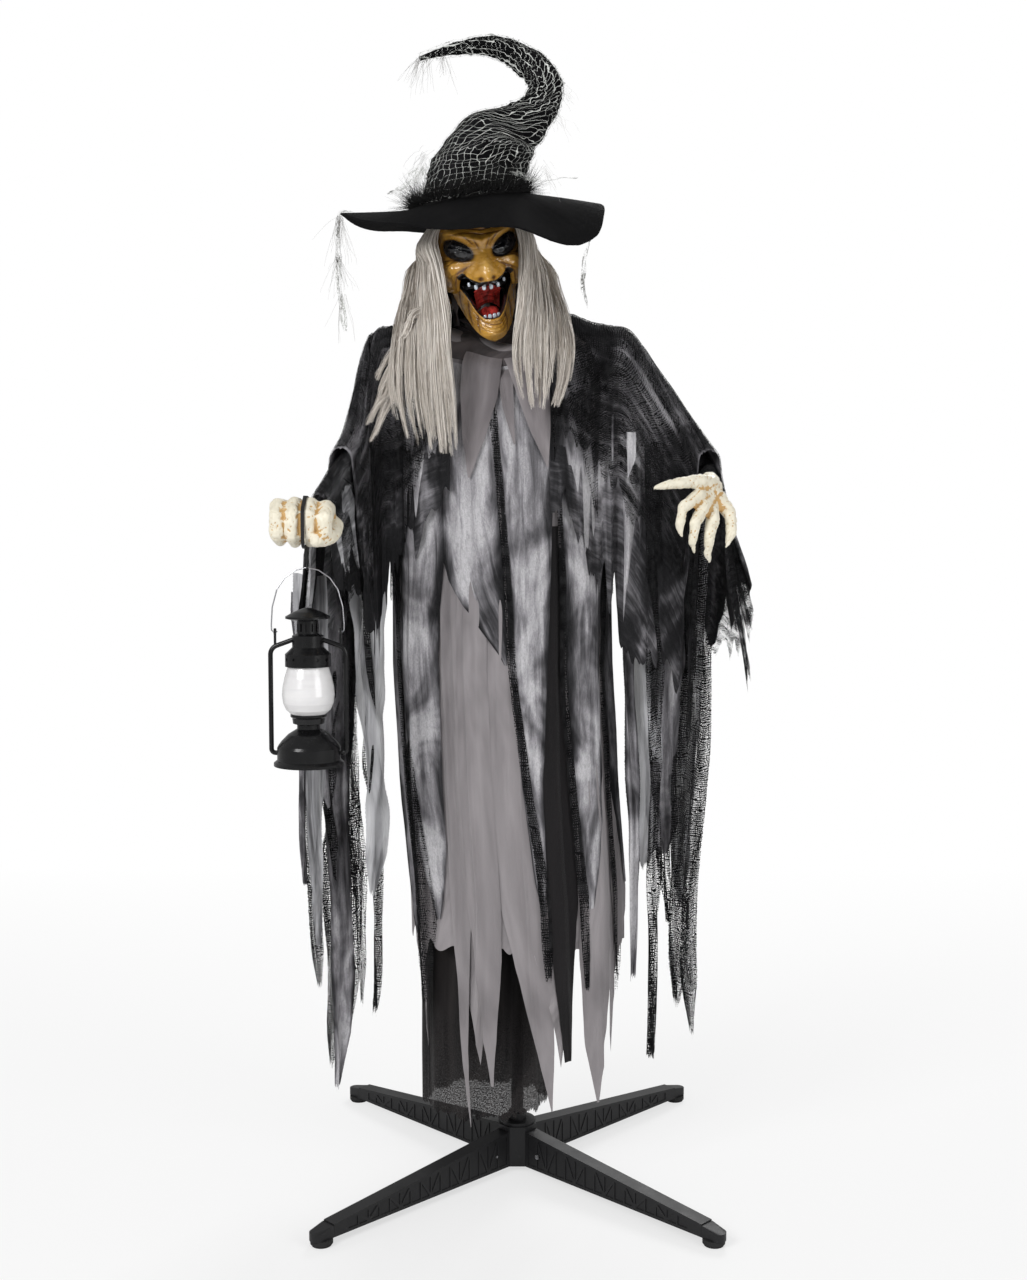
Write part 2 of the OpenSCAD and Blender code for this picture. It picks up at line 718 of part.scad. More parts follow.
// lower edge of the mask: upper lip, mouth corners and cheeks
function lip_z(q) = let (c = abs(q))
  lookup(c, [[0, -44], [12, -42], [24, -34], [33, -22], [42, -28], [55, -44],
    [70, -46], [92, -40]]);
mask_q = 91.7;
mask_cols = 26;
mask_rows = 14;

module mask_sheet(o, i) {
  grid = [for (off = [o, i]) [for (r = [0 : mask_rows])
    [for (c = [0 : mask_cols])
      let (
        s = c / mask_cols * 2 - 1,
        q = mask_q * (0.62 * s + 0.38 * s * abs(s)),
        z = mix(72, lip_z(q), r / mask_rows)
      )
      off == i
        ? [(face_w(z) + off) * sin(q), -(face_d(z) + off) * cos(q), z]
          + min(0, relief(q, z)) * [sin(q), -cos(q), 0]
        : face_pt(q, z, off)]]];
  sheet_solid(grid[0], grid[1]);
}

// The eye lens: an almond dome, its inner corner low.
eye_q = 27;
module eye_shape(side, grow = 0) {
  p = face_pt(side * eye_q, 9, -1.5);
  translate(p) rotate([0, 0, side * eye_q]) rotate([0, -side * 20, 0])
    resize([2 * (19 + grow), 2 * (8 + grow), 2 * (12 + grow)])
      sphere(10, $fn = 14);
}

module face_mask() {
  color([0.72, 0.48, 0.16]) head_place() as_mesh() difference() {
    mask_sheet(0, -mask_wall);
    for (s = [-1, 1]) eye_shape(s, seat);
  }
}

module eye_part(side) {
  color([0.02, 0.02, 0.02]) head_place() eye_shape(side);
}

// ------------------------------------------------------- jaw and mouth

jaw_pivot_y = -6;
jaw_pivot_z = -22;
function jaw_w(z) = lookup(z, [[-128, 22], [-118, 33], [-100, 39], [-80, 43],
  [-60, 47], [-40, 51], [-10, 53]]);
function jaw_d(z) = lookup(z, [[-128, 74], [-118, 84], [-100, 84], [-80, 79],
  [-60, 76], [-40, 72], [-10, 60]]);
// top edge: lower lip, corners of the mouth, then back to the pivots
function jaw_hi(q) = lookup(abs(q), [[0, -92], [14, -90], [26, -78],
  [40, -50], [50, -36], [62, -26], [80, -14], [92, -12]]);
function jaw_lo(q) = lookup(abs(q), [[0, -128], [20, -125], [38, -110],
  [52, -88], [66, -64], [80, -42], [92, -34]]);
function jaw_relief(q, z) = 5 * bump(q, 20) * bump(z + 114, 9)
  - 3 * bump(q, 30) * bump(z + 99, 5)
  + 1.2 * sin(z * 16) * bump(abs(q) - 38, 12);
jaw_cols = 22;
jaw_rows = 7;
module jaw_sheet(o, i) {
  grid = [for (off = [o, i]) [for (r = [0 : jaw_rows])
    [for (c = [0 : jaw_cols])
      let (
        q = 91 * (c / jaw_cols * 2 - 1),
        z = mix(jaw_hi(q), jaw_lo(q), r / jaw_rows),
        k = off + (off == o ? jaw_relief(q, z) : 0)
      )
      [(jaw_w(z) + k) * sin(q), -(jaw_d(z) + k) * cos(q), z]]]];
  sheet_solid(grid[0], grid[1]);
}

module jaw() {
  color([0.72, 0.48, 0.16]) head_place() as_mesh() difference() {
    jaw_sheet(0, -mask_wall);
    translate([0, jaw_pivot_y, jaw_pivot_z]) rotate([0, 90, 0])
      cylinder(r = 3.4, h = 200, center = true, $fn = 32);
  }
}

module jaw_pivots() {
  color([0.3, 0.3, 0.32]) head_place()
    translate([0, jaw_pivot_y, jaw_pivot_z]) rotate([0, 90, 0])
      cylinder(r = 3, h = 2 * (face_w(jaw_pivot_z) - mask_wall - 0.9),
        center = true);
}

module tooth(q, w, z0, z1, d, r) {
  x = face_pt(q, z0, 0)[0] * r;
  y = -d * cos(q);
  hull() {
    translate([x, y, z0]) cube([w, 4, 1], center = true);
    translate([x, y, z1]) rotate([90, 0, 0])
      cylinder(r = w * 0.42, h = 3.4, center = true, $fn = 16);
  }
}

module gum(off, depth, q_max, z, h) {
  translate([0, 0, z]) linear_extrude(h) polygon(concat(
    [for (q = [-q_max : 4 : q_max])
      [(face_w(z) + off) * sin(q), -(face_d(z) + off) * cos(q)]],
    [for (q = [q_max : -4 : -q_max])
      [(face_w(z) + off - depth) * sin(q), -(face_d(z) + off - depth) * cos(q)]]));
}

module upper_teeth() {
  color([0.8, 0.82, 0.84]) head_place() union() {
    gum(-mask_wall - seat, 10, 20, -36, 5);
    tooth(-18, 7.5, -35, -47, 75, 0.88);
    tooth(-9, 7.5, -35, -50, 75, 0.88);
    tooth(1, 8.5, -35, -52, 75, 0.88);
    tooth(9, 7, -35, -48, 75, 0.88);
    tooth(17, 6, -35, -46, 75, 0.88);
  }
}

module lower_teeth() {
  color([0.8, 0.82, 0.84]) head_place() union() {
    translate([0, 0, -101]) linear_extrude(6) polygon(concat(
      [for (q = [-30 : 5 : 30]) [(39 - 3 - seat) * sin(q), -(83 - 3 - seat) * cos(q)]],
      [for (q = [30 : -5 : -30]) [26 * sin(q), -66 * cos(q)]]));
    for (t = [[-6, 6.5], [5, 7], [16, 5.5]])
      hull() {
        translate([38 * sin(t[0]), -73 * cos(t[0]), -96])
          cube([t[1], 4, 2], center = true);
        translate([38 * sin(t[0]), -73 * cos(t[0]), -87.5]) rotate([90, 0, 0])
          cylinder(r = t[1] * 0.4, h = 3.2, center = true, $fn = 16);
      }
  }
}

// Tongue on the lower gum, thick at the back.
module tongue() {
  color([0.4, 0.06, 0.06]) head_place() hull() {
    translate([-11, -66, -94.7]) cube([22, 14, 1.5]);
    translate([0, -56, -90]) resize([30, 20, 8]) sphere(10, $fn = 16);
    translate([0, -47, -86]) resize([32, 20, 10]) sphere(10, $fn = 16);
  }
}

// Throat lining: a curved wall hanging from the head's deck.
module mouth_lining() {
  color([0.03, 0.02, 0.02]) head_place()
    translate([0, -2, -92]) rotate([0, 0, 200]) rotate_extrude(angle = 140)
      translate([28, 0]) square([2, 50]);
}

function egg(q, z, g) = let (rr = sqrt(max(0.0004, 1 - pow(z / (skull_h + g), 2))))
  [(skull_x + g) * rr * sin(q), -(skull_y + g) * rr * cos(q), z];

deck_z = -42;
deck_t = 5;
module skull_back() {
  zs = [-58, -42, -20, 10, 40, 62, 76, brim_z, 98, 106];
  rings = [for (g = [0, -mask_wall]) [for (i = [9 : -1 : 0])
    [for (c = [0 : 18]) egg(92 + c * 176 / 18, zs[i], g)]]];
  color([0.5, 0.34, 0.14]) head_place()
    sheet_solid(rings[0], rings[1]);
}

// Plate across the head with the hub that sits on the motor's shaft.
module head_hub() {
  edge = concat([[42, 1], [42, -30], [26, -44], [-26, -44], [-42, -30], [-42, 1]],
    [for (c = [18 : -1 : 0]) let (p = egg(92 + c * 176 / 18, deck_z,
      -mask_wall - seat)) [p[0], p[1]]]);
  color([0.12, 0.12, 0.13]) difference() {
    union() {
      head_place() translate([0, 0, deck_z]) linear_extrude(deck_t)
        polygon(edge);
      translate([turn_x, turn_y, neck_top + 26]) cylinder(r = 11, h = 18);
    }
    translate([turn_x, turn_y, neck_top + 20]) cylinder(r = 3.3, h = 19);
  }
}

// ------------------------------------------------------------ hair and hat

module hair_cap() {
  zs = [76, brim_z, 98, 107, 114.5];
  g = 3;
  outer = [for (i = [4 : -1 : 0]) [for (c = [0 : 35])
    egg(10 * c + 92, zs[i], seat + g)]];
  inner = [for (i = [4 : -1 : 0]) [for (c = [0 : 35])
    egg(10 * c + 92, min(zs[i], 111.8), seat)]];
  color([0.66, 0.63, 0.6]) head_place()
    sheet_solid(outer, inner, wrap = true);
}

// A fall of hair between two rows of world points, wavy across its width.
module fall(top_q, rows, w, off, wave) {
  n = 8;
  m = len(rows);
  grid = [for (o = [w, 0]) [for (i = [0 : m + 2])
    [for (c = [0 : n]) let (t = c / n)
      i < 3
        ? let (q = mix(top_q[0], top_q[1], t))
          head_pt(egg(q, [66, 44, 20][i],
            off + o + 10 * smooth((100 - abs(q)) / 12)))
        : let (
            r = rows[i - 3],
            a = r[0], b = r[1],
            nrm = unit(cross(b - a, [0, 0, 1])),
            k = (o + wave * cos(t * 900 + i * 9)) * (i > 5 ? 1 : 0.6)
          )
          mix(a, b, t) + nrm * k]]];
  sheet_solid(grid[0], grid[1]);
}

module hair_left() {
  color([0.72, 0.7, 0.66])
    fall([-122, -70], [
      [[-140, 12, 1470], [-126, -78, 1462]],
      [[-158, -18, 1425], [-126, -108, 1420]],
      [[-176, -70, 1385], [-122, -122, 1375]],
      [[-196, -112, 1330], [-126, -134, 1325]],
      [[-208, -126, 1270], [-128, -142, 1260]],
      [[-196, -134, 1210], [-124, -144, 1196]]], 5, 0.8, 2);
}
module hair_right() {
  color([0.72, 0.7, 0.66])
    fall([70, 122], [
      [[14, -66, 1470], [20, 20, 1478]],
      [[22, -98, 1425], [46, -10, 1430]],
      [[26, -116, 1385], [66, -58, 1385]],
      [[24, -130, 1335], [74, -108, 1335]],
      [[26, -140, 1285], [70, -126, 1285]],
      [[34, -146, 1240], [62, -136, 1240]]], 5, 0.8, 2);
}
module hair_back() {
  color([0.66, 0.63, 0.6])
    fall([130, 230], [
      [[-8, 74, 1470], [-112, 70, 1464]],
      [[-4, 92, 1425], [-116, 88, 1420]],
      [[0, 116, 1385], [-118, 114, 1380]],
      [[0, 130, 1340], [-116, 128, 1336]],
      [[-6, 140, 1295], [-108, 138, 1290]]], 5, 0.8, 2);
}

// Felt brim: flat under the crown, then drooping by an amount per side.
// q is 0 at the front, 90 at the right of the picture.
function around(q) = q > 180 ? q - 360 : q;
function brim_r(q) = brim_w * lookup(around(q), [[-180, 0.72], [-140, 0.8],
  [-100, 1.02], [-90, 1.08], [-70, 0.98], [-40, 0.8], [0, 0.8], [35, 0.95],
  [55, 1.12], [72, 1.08], [95, 1.1], [110, 0.95], [140, 0.76], [180, 0.72]]);
function brim_fall(q) = lookup(around(q), [[-180, 22], [-130, 12], [-92, -14],
  [-60, 14], [-30, 44], [0, 54], [30, 56], [55, 62], [75, 44], [95, 22],
  [130, 24], [180, 22]]);
crown_a = 81;
crown_b = 84;
function brim_pt(q, t, off) =
  t <= 0
    ? egg(q, brim_z, seat * 2.4 + 3) + [0, 0, off]
    : let (s = max(0, t - 1), k = smooth(s))
      [(crown_a + 3 + brim_r(q) * s) * sin(q),
        -(crown_b + 3 + brim_r(q) * s) * cos(q),
        brim_z - brim_fall(q) * pow(s, 1.25)
          + 2.5 * sin(q * 7) * s + off];

module hat_brim() {
  ts = [0, 1, 1.2, 1.5, 1.78, 2];
  rings = [for (o = [felt_t, 0]) [for (t = ts) [for (c = [0 : 35])
    brim_pt(10 * c + 92, t, o)]]];
  color([0.02, 0.02, 0.02]) head_place()
    sheet_solid(rings[0], rings[1], wrap = true);
}

// Crown: rings square to a bent path; the first stands on the brim.
crown_path = [[-66, -24, 1600, 77], [-54, -16, 1628, 66], [-16, -10, 1684, 50],
  [26, -5, 1718, 34], [44, 3, 1754, 26], [18, 10, 1788, 20.5],
  [-36, 10, 1813, 15], [-96, 5, 1809, 8.5], [-154, 0, 1792, 3]];
function crown_ring(g, i, path) = let (
    n = len(path),
    p = [path[i][0], path[i][1], path[i][2] + shoulder_h - 1345],
    a = path[max(0, i - 1)], b = path[min(n - 1, i + 1)],
    s = unit([b[0] - a[0], b[1] - a[1], b[2] - a[2]]),
    t = i == 0 ? unit(s * 0.2 + [-0.15, -0.07, 1]) : s,
    u = unit(cross([0, 1, 0], t)), v = cross(t, u),
    r = max(0.8, path[i][3] + g)
  )
  [for (c = [0 : 17]) let (q = 20 * c + 92,
      k = r * (1 + 0.05 * cos(3 * q + 70 * i) * smooth(i / 3) ))
    p + k * (u * sin(q) - v * cos(q))];
module hat_crown() {
  fine = smooth_path(crown_path, 2);
  foot = [for (g = [0, -3]) [for (z = [brim_z + felt_t + seat])
    [for (c = [0 : 17]) let (q = 20 * c + 92)
      head_pt([(crown_a + g) * sin(q), -(crown_b + g) * cos(q), z])]]];
  outer = concat(foot[0], [for (i = [0 : len(fine) - 1]) crown_ring(0, i, fine)]);
  inner = concat(foot[1],
    [for (i = [0 : len(fine) - 1]) crown_ring(-2.6, min(i, len(fine) - 3), fine)]);
  color([0.12, 0.12, 0.12]) sheet_solid(inner, outer, wrap = true);
}

// Fuzzy cord laid round the foot of the crown.
module hat_trim() {
  path = [for (c = [0 : 23]) let (q = 15 * c + 92)
    [(crown_a + 5.8) * sin(q), -(crown_b + 5.8) * cos(q), brim_z + felt_t + 4.6]];
  color([0.015, 0.015, 0.015]) head_place()
    loft(tube_rings(path, 4, 6, loop = true), loop = true);
}

// ------------------------------------------------------------------- arms

lantern_elbow = [-258, -52, shoulder_h - 172];
lantern_wrist = [lamp_x - 4, lamp_y + 62, fist_z + 12];
reach_elbow = [300, -34, shoulder_h - 196];
reach_wrist = [290, -158, shoulder_h - 226];

// A hub on the shoulder bar, and rods from it through points.
module arm_rod(hub_x, points) {
  all = concat([[hub_x, -4, shoulder_h - 10]], points);
  color([0.1, 0.1, 0.105]) difference() {
    union() {
      translate([hub_x, 0, shoulder_h]) rotate([0, 90, 0])
        cylinder(r = bar_r + 7, h = hub_l, center = true);
      for (i = [0 : len(all) - 2]) let (
          d = all[i + 1] - all[i], l = norm(d))
        translate(all[i]) rotate([0, acos(d[2] / l), atan2(d[1], d[0])])
          cylinder(r = rod_r, h = l);
      for (i = [1 : len(all) - 2]) translate(all[i]) sphere(rod_r + 3);
    }
    translate([hub_x, 0, shoulder_h]) rotate([0, 90, 0])
      cylinder(r = bar_r + run_fit, h = hub_l + 2, center = true);
  }
}

module lantern_arm_rod() {
  arm_rod(left_hub - hub_l / 2, [lantern_elbow, lantern_wrist]);
}
module reaching_arm_rod() {
  arm_rod(right_hub + hub_l / 2, [reach_elbow, reach_wrist]);
}

// Closed fist, palm down, the four fingers curled side by side.
module fist_shape(g = 0) {
  for (i = [0 : 3]) let (x = -35 + 23 * i, b = [2, 0, 1, 5][i])
    bones([[x * 0.8, 30, 16], [x, -10, 26 - b], [x, -36, 12 - b],
      [x, -33, -17 + b], [x * 0.95, -10, -25 + b]],
      [15 + g, 12.5 + g, 11.5 + g, 10.5 + g, 9.5 + g]);
  bones([[26, 34, 4], [45, 8, -4], [42, -18, -18], [22, -38, -25]],
    [15 + g, 12 + g, 11 + g, 9 + g]);
  bones([[0, 44, 12], [0, 62, 12]], [21 + g, 18 + g]);
}
module at_fist() { translate([lamp_x - 4, lamp_y, fist_z]) children(); }

// A round bar between two points.
module bar_line(a, b, r) {
  d = b - a;
  translate(a) rotate([0, acos(d[2] / norm(d)), atan2(d[1], d[0])])
    cylinder(r = r, h = norm(d));
}

module fist() {
  color([0.85, 0.8, 0.68]) as_mesh() difference() {
    at_fist() fist_shape();
    bar_line(lantern_elbow, lantern_wrist, rod_r + seat, $fn = 24);
  }
}

// Open hand with a pointing finger and curled, clawed fingers.
module claw_shape() {
  tips = [
    [[10, 4, 8], [-12, -34, 12], [-42, -58, 10], [-66, -72, 6], [-84, -80, 1]],
    [[6, -2, -2], [-16, -40, -10], [-40, -64, -26], [-46, -70, -52], [-42, -66, -68]],
    [[6, -6, -12], [-8, -42, -26], [-22, -62, -48], [-26, -60, -76], [-22, -52, -92]],
    [[8, -8, -22], [6, -38, -42], [0, -52, -66], [-2, -46, -92], [2, -38, -106]]];
  for (f = tips)
    bones(f, [13, 11, 9.5, 7, 2.6]);
  // thumb
  bones([[14, 8, -6], [34, -16, -34], [34, -34, -62], [26, -40, -84]],
    [15, 11, 9, 2.8]);
  bones([[10, 26, 4], [8, 2, -8]], [19, 20]);
  bones([[12, 60, 12], [10, 30, 4]], [17, 18]);
}
module at_claw() { translate(reach_wrist - [10, 32, 4]) children(); }
module claw_hand() {
  color([0.85, 0.8, 0.68]) as_mesh() difference() {
    at_claw() claw_shape();
    bar_line(reach_elbow, reach_wrist, rod_r + seat, $fn = 24);
  }
}

// Thin strap round the fist, with the link and eye that carry the bail.
tie_x = lamp_x;
module lantern_tie() {
  color([0.03, 0.03, 0.03]) as_mesh() {
    difference() {
      intersection() {
        hull() at_fist() fist_shape(3);
        translate([tie_x - 2.5, lamp_y - 100, fist_z - 100]) cube([5, 126, 200]);
      }
      hull() at_fist() fist_shape(0.4);
    }
    hull() {
      translate([tie_x - 2, lamp_y - 14, fist_z - 37]) cube([4, 24, 3]);
      translate([tie_x - 1.6, lamp_y - 2, bail_top + 4.4]) cube([3.2, 4, 2]);
    }
    translate([tie_x, lamp_y, bail_top]) rotate([0, 90, 0])
      rotate_extrude($fn = 24) translate([3.6, 0]) circle(1.3, $fn = 8);
  }
}

// A sleeve draped over an arm, its two panels hanging to their hems.
// Station: [point, heading, radius over the arm, depth and flare of the inner
// panel, depth and flare of the outer panel]. side is 1 at the right.
module drape(st, side, wave) {
  m = 16;
  grid = [for (o = [cloth_t, 0]) [for (i = [0 : len(st) - 1])
    [for (c = [0 : m])
      let (
        s = st[i], a = c - m / 2,
        q = min(90, abs(a) * 22.5) * sign(a),
        down = max(0, abs(a) - 4) / 4,
        fall = a > 0 ? s[4] : s[3],
        r = s[2] + o,
        k = wave * smooth(down * 2) * sin(c * 97 + i * 41),
        h = s[1] + side * 90,
        w = (r + fall[1] * down + k) * sin(q)
      )
      s[0] + [w * cos(h), w * sin(h), r * cos(q) - fall[0] * down]]]];
  sheet_solid(grid[side > 0 ? 0 : 1], grid[side > 0 ? 1 : 0]);
}
// A narrow ribbon hanging from a point on a sleeve's hem.
module ribbon(p, w, len, turn = 0, sway = 6) {
  grid = [for (o = [-cloth_t / 2, cloth_t / 2]) [for (i = [0 : 6])
    let (t = i / 6, k = w * (t > 0.9 ? 0.15 : 1 - 0.35 * t), g = turn + 50 * t)
    [for (c = [-1 : 1])
      p + [c * k / 2 * cos(g) - o * sin(g) + sway * sin(t * 200),
        c * k / 2 * sin(g) + o * cos(g) + sway * sin(t * 260) * 0.7,
        -len * t]]]];
  sheet_solid(grid[0], grid[1]);
}

sh = shoulder_h - 1345;
hub_over = bar_r + 7 + seat * 2;
module lantern_sleeve() {
  e = lantern_elbow;
  w = lantern_wrist;
  x = left_hub - hub_l / 2;
  color([0.3, 0.3, 0.32]) as_mesh() {
    drape([
      [[x + 6, 0, shoulder_h], 180, hub_over, [20, 1], [120, 6]],
      [[x - 13, 0, shoulder_h], 180, hub_over, [24, 2], [150, 10]],
      [[x - 20, -14, 1318 + sh], 205, 20, [180, 10], [190, 16]],
      [[-250, -36, 1250 + sh], 220, 19, [200, 14], [230, 22]],
      [e + [0, 0, 4], 232, 17, [210, 16], [270, 30]],
      [mix(e, w, 0.45) + [0, 0, 4], 247, 12, [190, 18], [250, 30]],
      [mix(e, w, 0.82) + [0, 0, 2], 250, 10, [140, 14], [200, 22]]], -1, 4);
    ribbon([-290, -36, 975 + sh], 38, 860, 10);
    ribbon([-274, -6, 1046 + sh], 34, 840, 40);
    ribbon([-332, -112, 965 + sh], 30, 590, -20);
  }
}
module reaching_sleeve() {
  e = reach_elbow;
  w = reach_wrist;
  x = right_hub + hub_l / 2;
  color([0.12, 0.12, 0.12]) drape([
    [[x - 6, 0, shoulder_h], 0, hub_over, [120, 6], [120, 6]],
    [[x + 13, 0, shoulder_h], 0, hub_over, [160, 8], [160, 10]],
    [[x + 28, -6, 1324 + sh], -8, 16, [190, 10], [200, 14]],
    [[mix(x, e[0], 0.6), -20, 1244 + sh], -20, 15, [280, 16], [270, 22]],
    [e + [0, 0, 3], -50, 12, [370, 20], [300, 44]],
    [mix(e, w, 0.4) + [0, 0, 2], -84, 9, [400, 18], [292, 61]],
    [mix(e, w, 0.62) + [0, 0, 2], -86, 8, [330, 12], [230, 34]]], 1, 4);
}

// ---------------------------------------------------------------- lantern

module at_lamp() { translate([lamp_x, lamp_y, lamp_z]) children(); }

module lantern_base() {
  color([0.03, 0.03, 0.032]) at_lamp() difference() {
    rotate_extrude() polygon([[0, 0], [lamp_r, 0], [lamp_r, 4],
      [lamp_r - 3, 6.5], [lamp_r - 5, 8], [lamp_r - 5, 26], [lamp_r - 7, 30],
      [40, 36], [30, 46], [22, 51], [17, 54], [17, 60], [23, 62], [24, 70],
      [globe_r - 12, 72], [globe_r - 12, 75.7], [0, 75.7]]);
    // battery room, closed from below by the cover
    translate([0, 0, -1]) cylinder(r = 36 + fit, h = 25);
    translate([0, 0, 20]) cylinder(r = 9, h = 60);
  }
}
module lantern_cover() {
  color([0.04, 0.04, 0.042]) at_lamp() difference() {
    cylinder(r = 36, h = 2.5);
    translate([0, 29, -1]) cylinder(r = 2, h = 5);
  }
}
module lantern_cells() {
  color([0.75, 0.45, 0.15]) at_lamp() for (x = [-11, 0, 11])
    translate([x, 22, 2.8 + 5.2]) rotate([90, 0, 0]) {
      cylinder(r = 5.2, h = 43.5);
      translate([0, 0, 43.5]) cylinder(r = 1.9, h = 1);
    }
}
module lantern_light() {
  color([0.9, 0.85, 0.7]) at_lamp() {
    translate([0, 0, 50]) cylinder(r = 9 - fit, h = 26);
    translate([0, 0, 76]) cylinder(r1 = 7, r2 = 5, h = 26);
    translate([0, 0, 102]) sphere(5);
  }
}
module lantern_globe() {
  w = globe_wall;
  color([0.9, 0.9, 0.88]) at_lamp() rotate_extrude($fn = 72) polygon([
    [globe_r - 13, 75.7], [globe_r - 6, 82], [globe_r - 1.5, 92],
    [globe_r, 104], [globe_r - 1, 116], [globe_r - 4, 130],
    [globe_r - 9, 146], [globe_r - 9 - w, 146], [globe_r - 4 - w, 130],
    [globe_r - 1 - w, 116], [globe_r - w, 104], [globe_r - 1.5 - w, 92],
    [globe_r - 6 - w, 82], [globe_r - 13 - w, 78], [globe_r - 13 - w, 75.7]]);
}
module lantern_chimney() {
  color([0.03, 0.03, 0.032]) at_lamp() difference() {
    rotate_extrude() polygon([[0, 152], [globe_r - 11, 152],
      [globe_r - 11, 146], [globe_r - 5, 146], [globe_r - 5, 164],
      [28, 169], [23, 174], [23, 191], [16, 194], [16, 212], [32.5, 216],
      [32.5, 219], [20, 226], [6, 231], [0, 232]]);
    // vent holes in the band and slots in the neck
    for (a = [0 : 30 : 330]) rotate(a) translate([globe_r - 7, 0, 157])
      rotate([0, 90, 0]) cylinder(r = 2.6, h = 6);
    for (a = [0 : 30 : 330]) rotate(a) translate([13.5, -1.4, 197])
      cube([6, 2.8, 12]);
  }
}
ear_x = 48;
// A quarter or less of a bent tube: centre, bend radius, start and sweep.
module tube_bend(x, z, bend, from, sweep) {
  translate([x, 0, z]) rotate([90, 0, 0]) rotate([0, 0, from])
    rotate_extrude(angle = sweep) translate([bend, 0]) circle(r = 3.5);
}
module frame_side() {
  difference() {
    union() {
      // out of the drum, up, and in to the chimney
      translate([lamp_r - 5 + seat, 0, 18]) rotate([0, 90, 0])
        cylinder(r = 3.5, h = 49 - lamp_r + 5 - seat);
      tube_bend(49, 24, 6, -90, 90);
      translate([55, 0, 24]) cylinder(r = 3.5, h = 139);
      tube_bend(41, 163, 14, 0, 70);
      translate([41 + 14 * cos(70), 0, 163 + 14 * sin(70)])
        rotate([0, -70, 0]) cylinder(r = 3.5, h = 27);
      // ear plate for the bail
      translate([ear_x - 1.5, -3, 172]) cube([3, 6, eye_h - 172]);
      translate([ear_x - 1.5, 0, eye_h]) rotate([0, 90, 0])
        cylinder(r = 5, h = 3);
    }
    translate([ear_x - 3, 0, eye_h]) rotate([0, 90, 0])
      cylinder(r = wire_d / 2 + 0.6, h = 6);
    translate([0, 0, 160]) cylinder(r = 23 + seat, h = 40);
  }
}
module lantern_frame() {
  color([0.03, 0.03, 0.032]) at_lamp() {
    frame_side();
    rotate(180) frame_side();
  }
}
module bail() {
  r = bail_rise;
  half = smooth_path([[44.5, 0, 0], [50.8, 0, 0], [52.9, 0, 2.1], [53.2, 0, 10],
    [51.5, 0, r * 0.38], [44.5, 0, r * 0.65],
    [33, 0, r * 0.83], [17, 0, r * 0.945], [0, 0, r - 1]], 1);
  n = len(half);
  path = concat(half, [for (i = [n - 2 : -1 : 0]) [-half[i][0], 0, half[i][2]]]);
  color([0.6, 0.6, 0.62]) at_lamp() translate([0, 0, eye_h])
    loft(tube_rings(path, wire_d / 2, 8));
}

// ------------------------------------------------------------------ parts

base_hub();
leg_at(225);  // leg_front_left
leg_at(315);  // leg_front_right
leg_at(135);  // leg_rear_left
leg_at(45);  // leg_rear_right
foot_caps();
foot_pads();
leg_screws();
pole_tube(pole_foot, tube_a, false);  // pole_lower
pole_tube(tube_a, tube_b, true);  // pole_middle
pole_tube(tube_b, pole_top, true);  // pole_upper
control_box();
box_cover();
speaker();
circuit_board();
batteries();
battery_door();
mode_switch();
shoulder_bar();
bar_end_caps();
shoulder_pads();
neck_post();
head_motor();
neck_cloth();
gown();
underskirt();
dyed_panels();
gauze_strips();
chest_points();
head_hub();
skull_back();
face_mask();
eye_part(-1);  // eye_left
eye_part(1);  // eye_right
mouth_lining();
upper_teeth();
jaw_pivots();
jaw();
lower_teeth();
tongue();
hair_cap();
hair_left();
hair_right();
hair_back();
hat_brim();
hat_crown();
hat_trim();
lantern_arm_rod();
fist();
lantern_tie();
lantern_sleeve();
reaching_arm_rod();
claw_hand();
reaching_sleeve();
bail();
lantern_base();
lantern_cover();
lantern_cells();
lantern_light();
lantern_globe();
lantern_chimney();
lantern_frame();
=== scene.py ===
# %% [markdown]
# # Standing witch figure, dressed and finished
# The imported CAD model gives a fixed frame: stand, box, arms, mask, lantern.
# This script dresses it. Cloth, hair, hat, mask and hands are worked out as
# numpy surfaces in the same millimetres as the CAD source. Most of them ride on
# the CAD body that carries them, so that the figure still moves; the hair falls,
# the stray locks, the capes and the hood's back are fixed in place.

import bmesh
import bpy
import numpy as np
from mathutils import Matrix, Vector


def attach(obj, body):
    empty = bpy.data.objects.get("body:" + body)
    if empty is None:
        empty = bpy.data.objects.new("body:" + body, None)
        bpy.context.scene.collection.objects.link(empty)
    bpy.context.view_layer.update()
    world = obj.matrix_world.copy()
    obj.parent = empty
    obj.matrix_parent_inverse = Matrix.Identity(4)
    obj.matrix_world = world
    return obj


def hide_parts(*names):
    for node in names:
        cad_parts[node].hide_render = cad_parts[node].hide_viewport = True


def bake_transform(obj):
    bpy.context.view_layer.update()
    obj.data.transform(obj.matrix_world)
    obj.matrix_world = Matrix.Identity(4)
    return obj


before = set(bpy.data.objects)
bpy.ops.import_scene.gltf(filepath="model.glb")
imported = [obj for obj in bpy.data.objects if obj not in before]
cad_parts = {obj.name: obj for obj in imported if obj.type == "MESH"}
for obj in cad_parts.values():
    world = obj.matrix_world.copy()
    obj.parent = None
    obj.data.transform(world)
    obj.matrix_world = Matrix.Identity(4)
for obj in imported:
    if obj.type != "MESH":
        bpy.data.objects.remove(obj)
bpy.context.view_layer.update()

# %% [markdown]
# ## Camera
# The figure stands 1.83 m tall and was seen from a little above its waist, from
# about 2.6 m. One camera with a slight downward tilt gives that view; the long
# side of the frame is the vertical one.

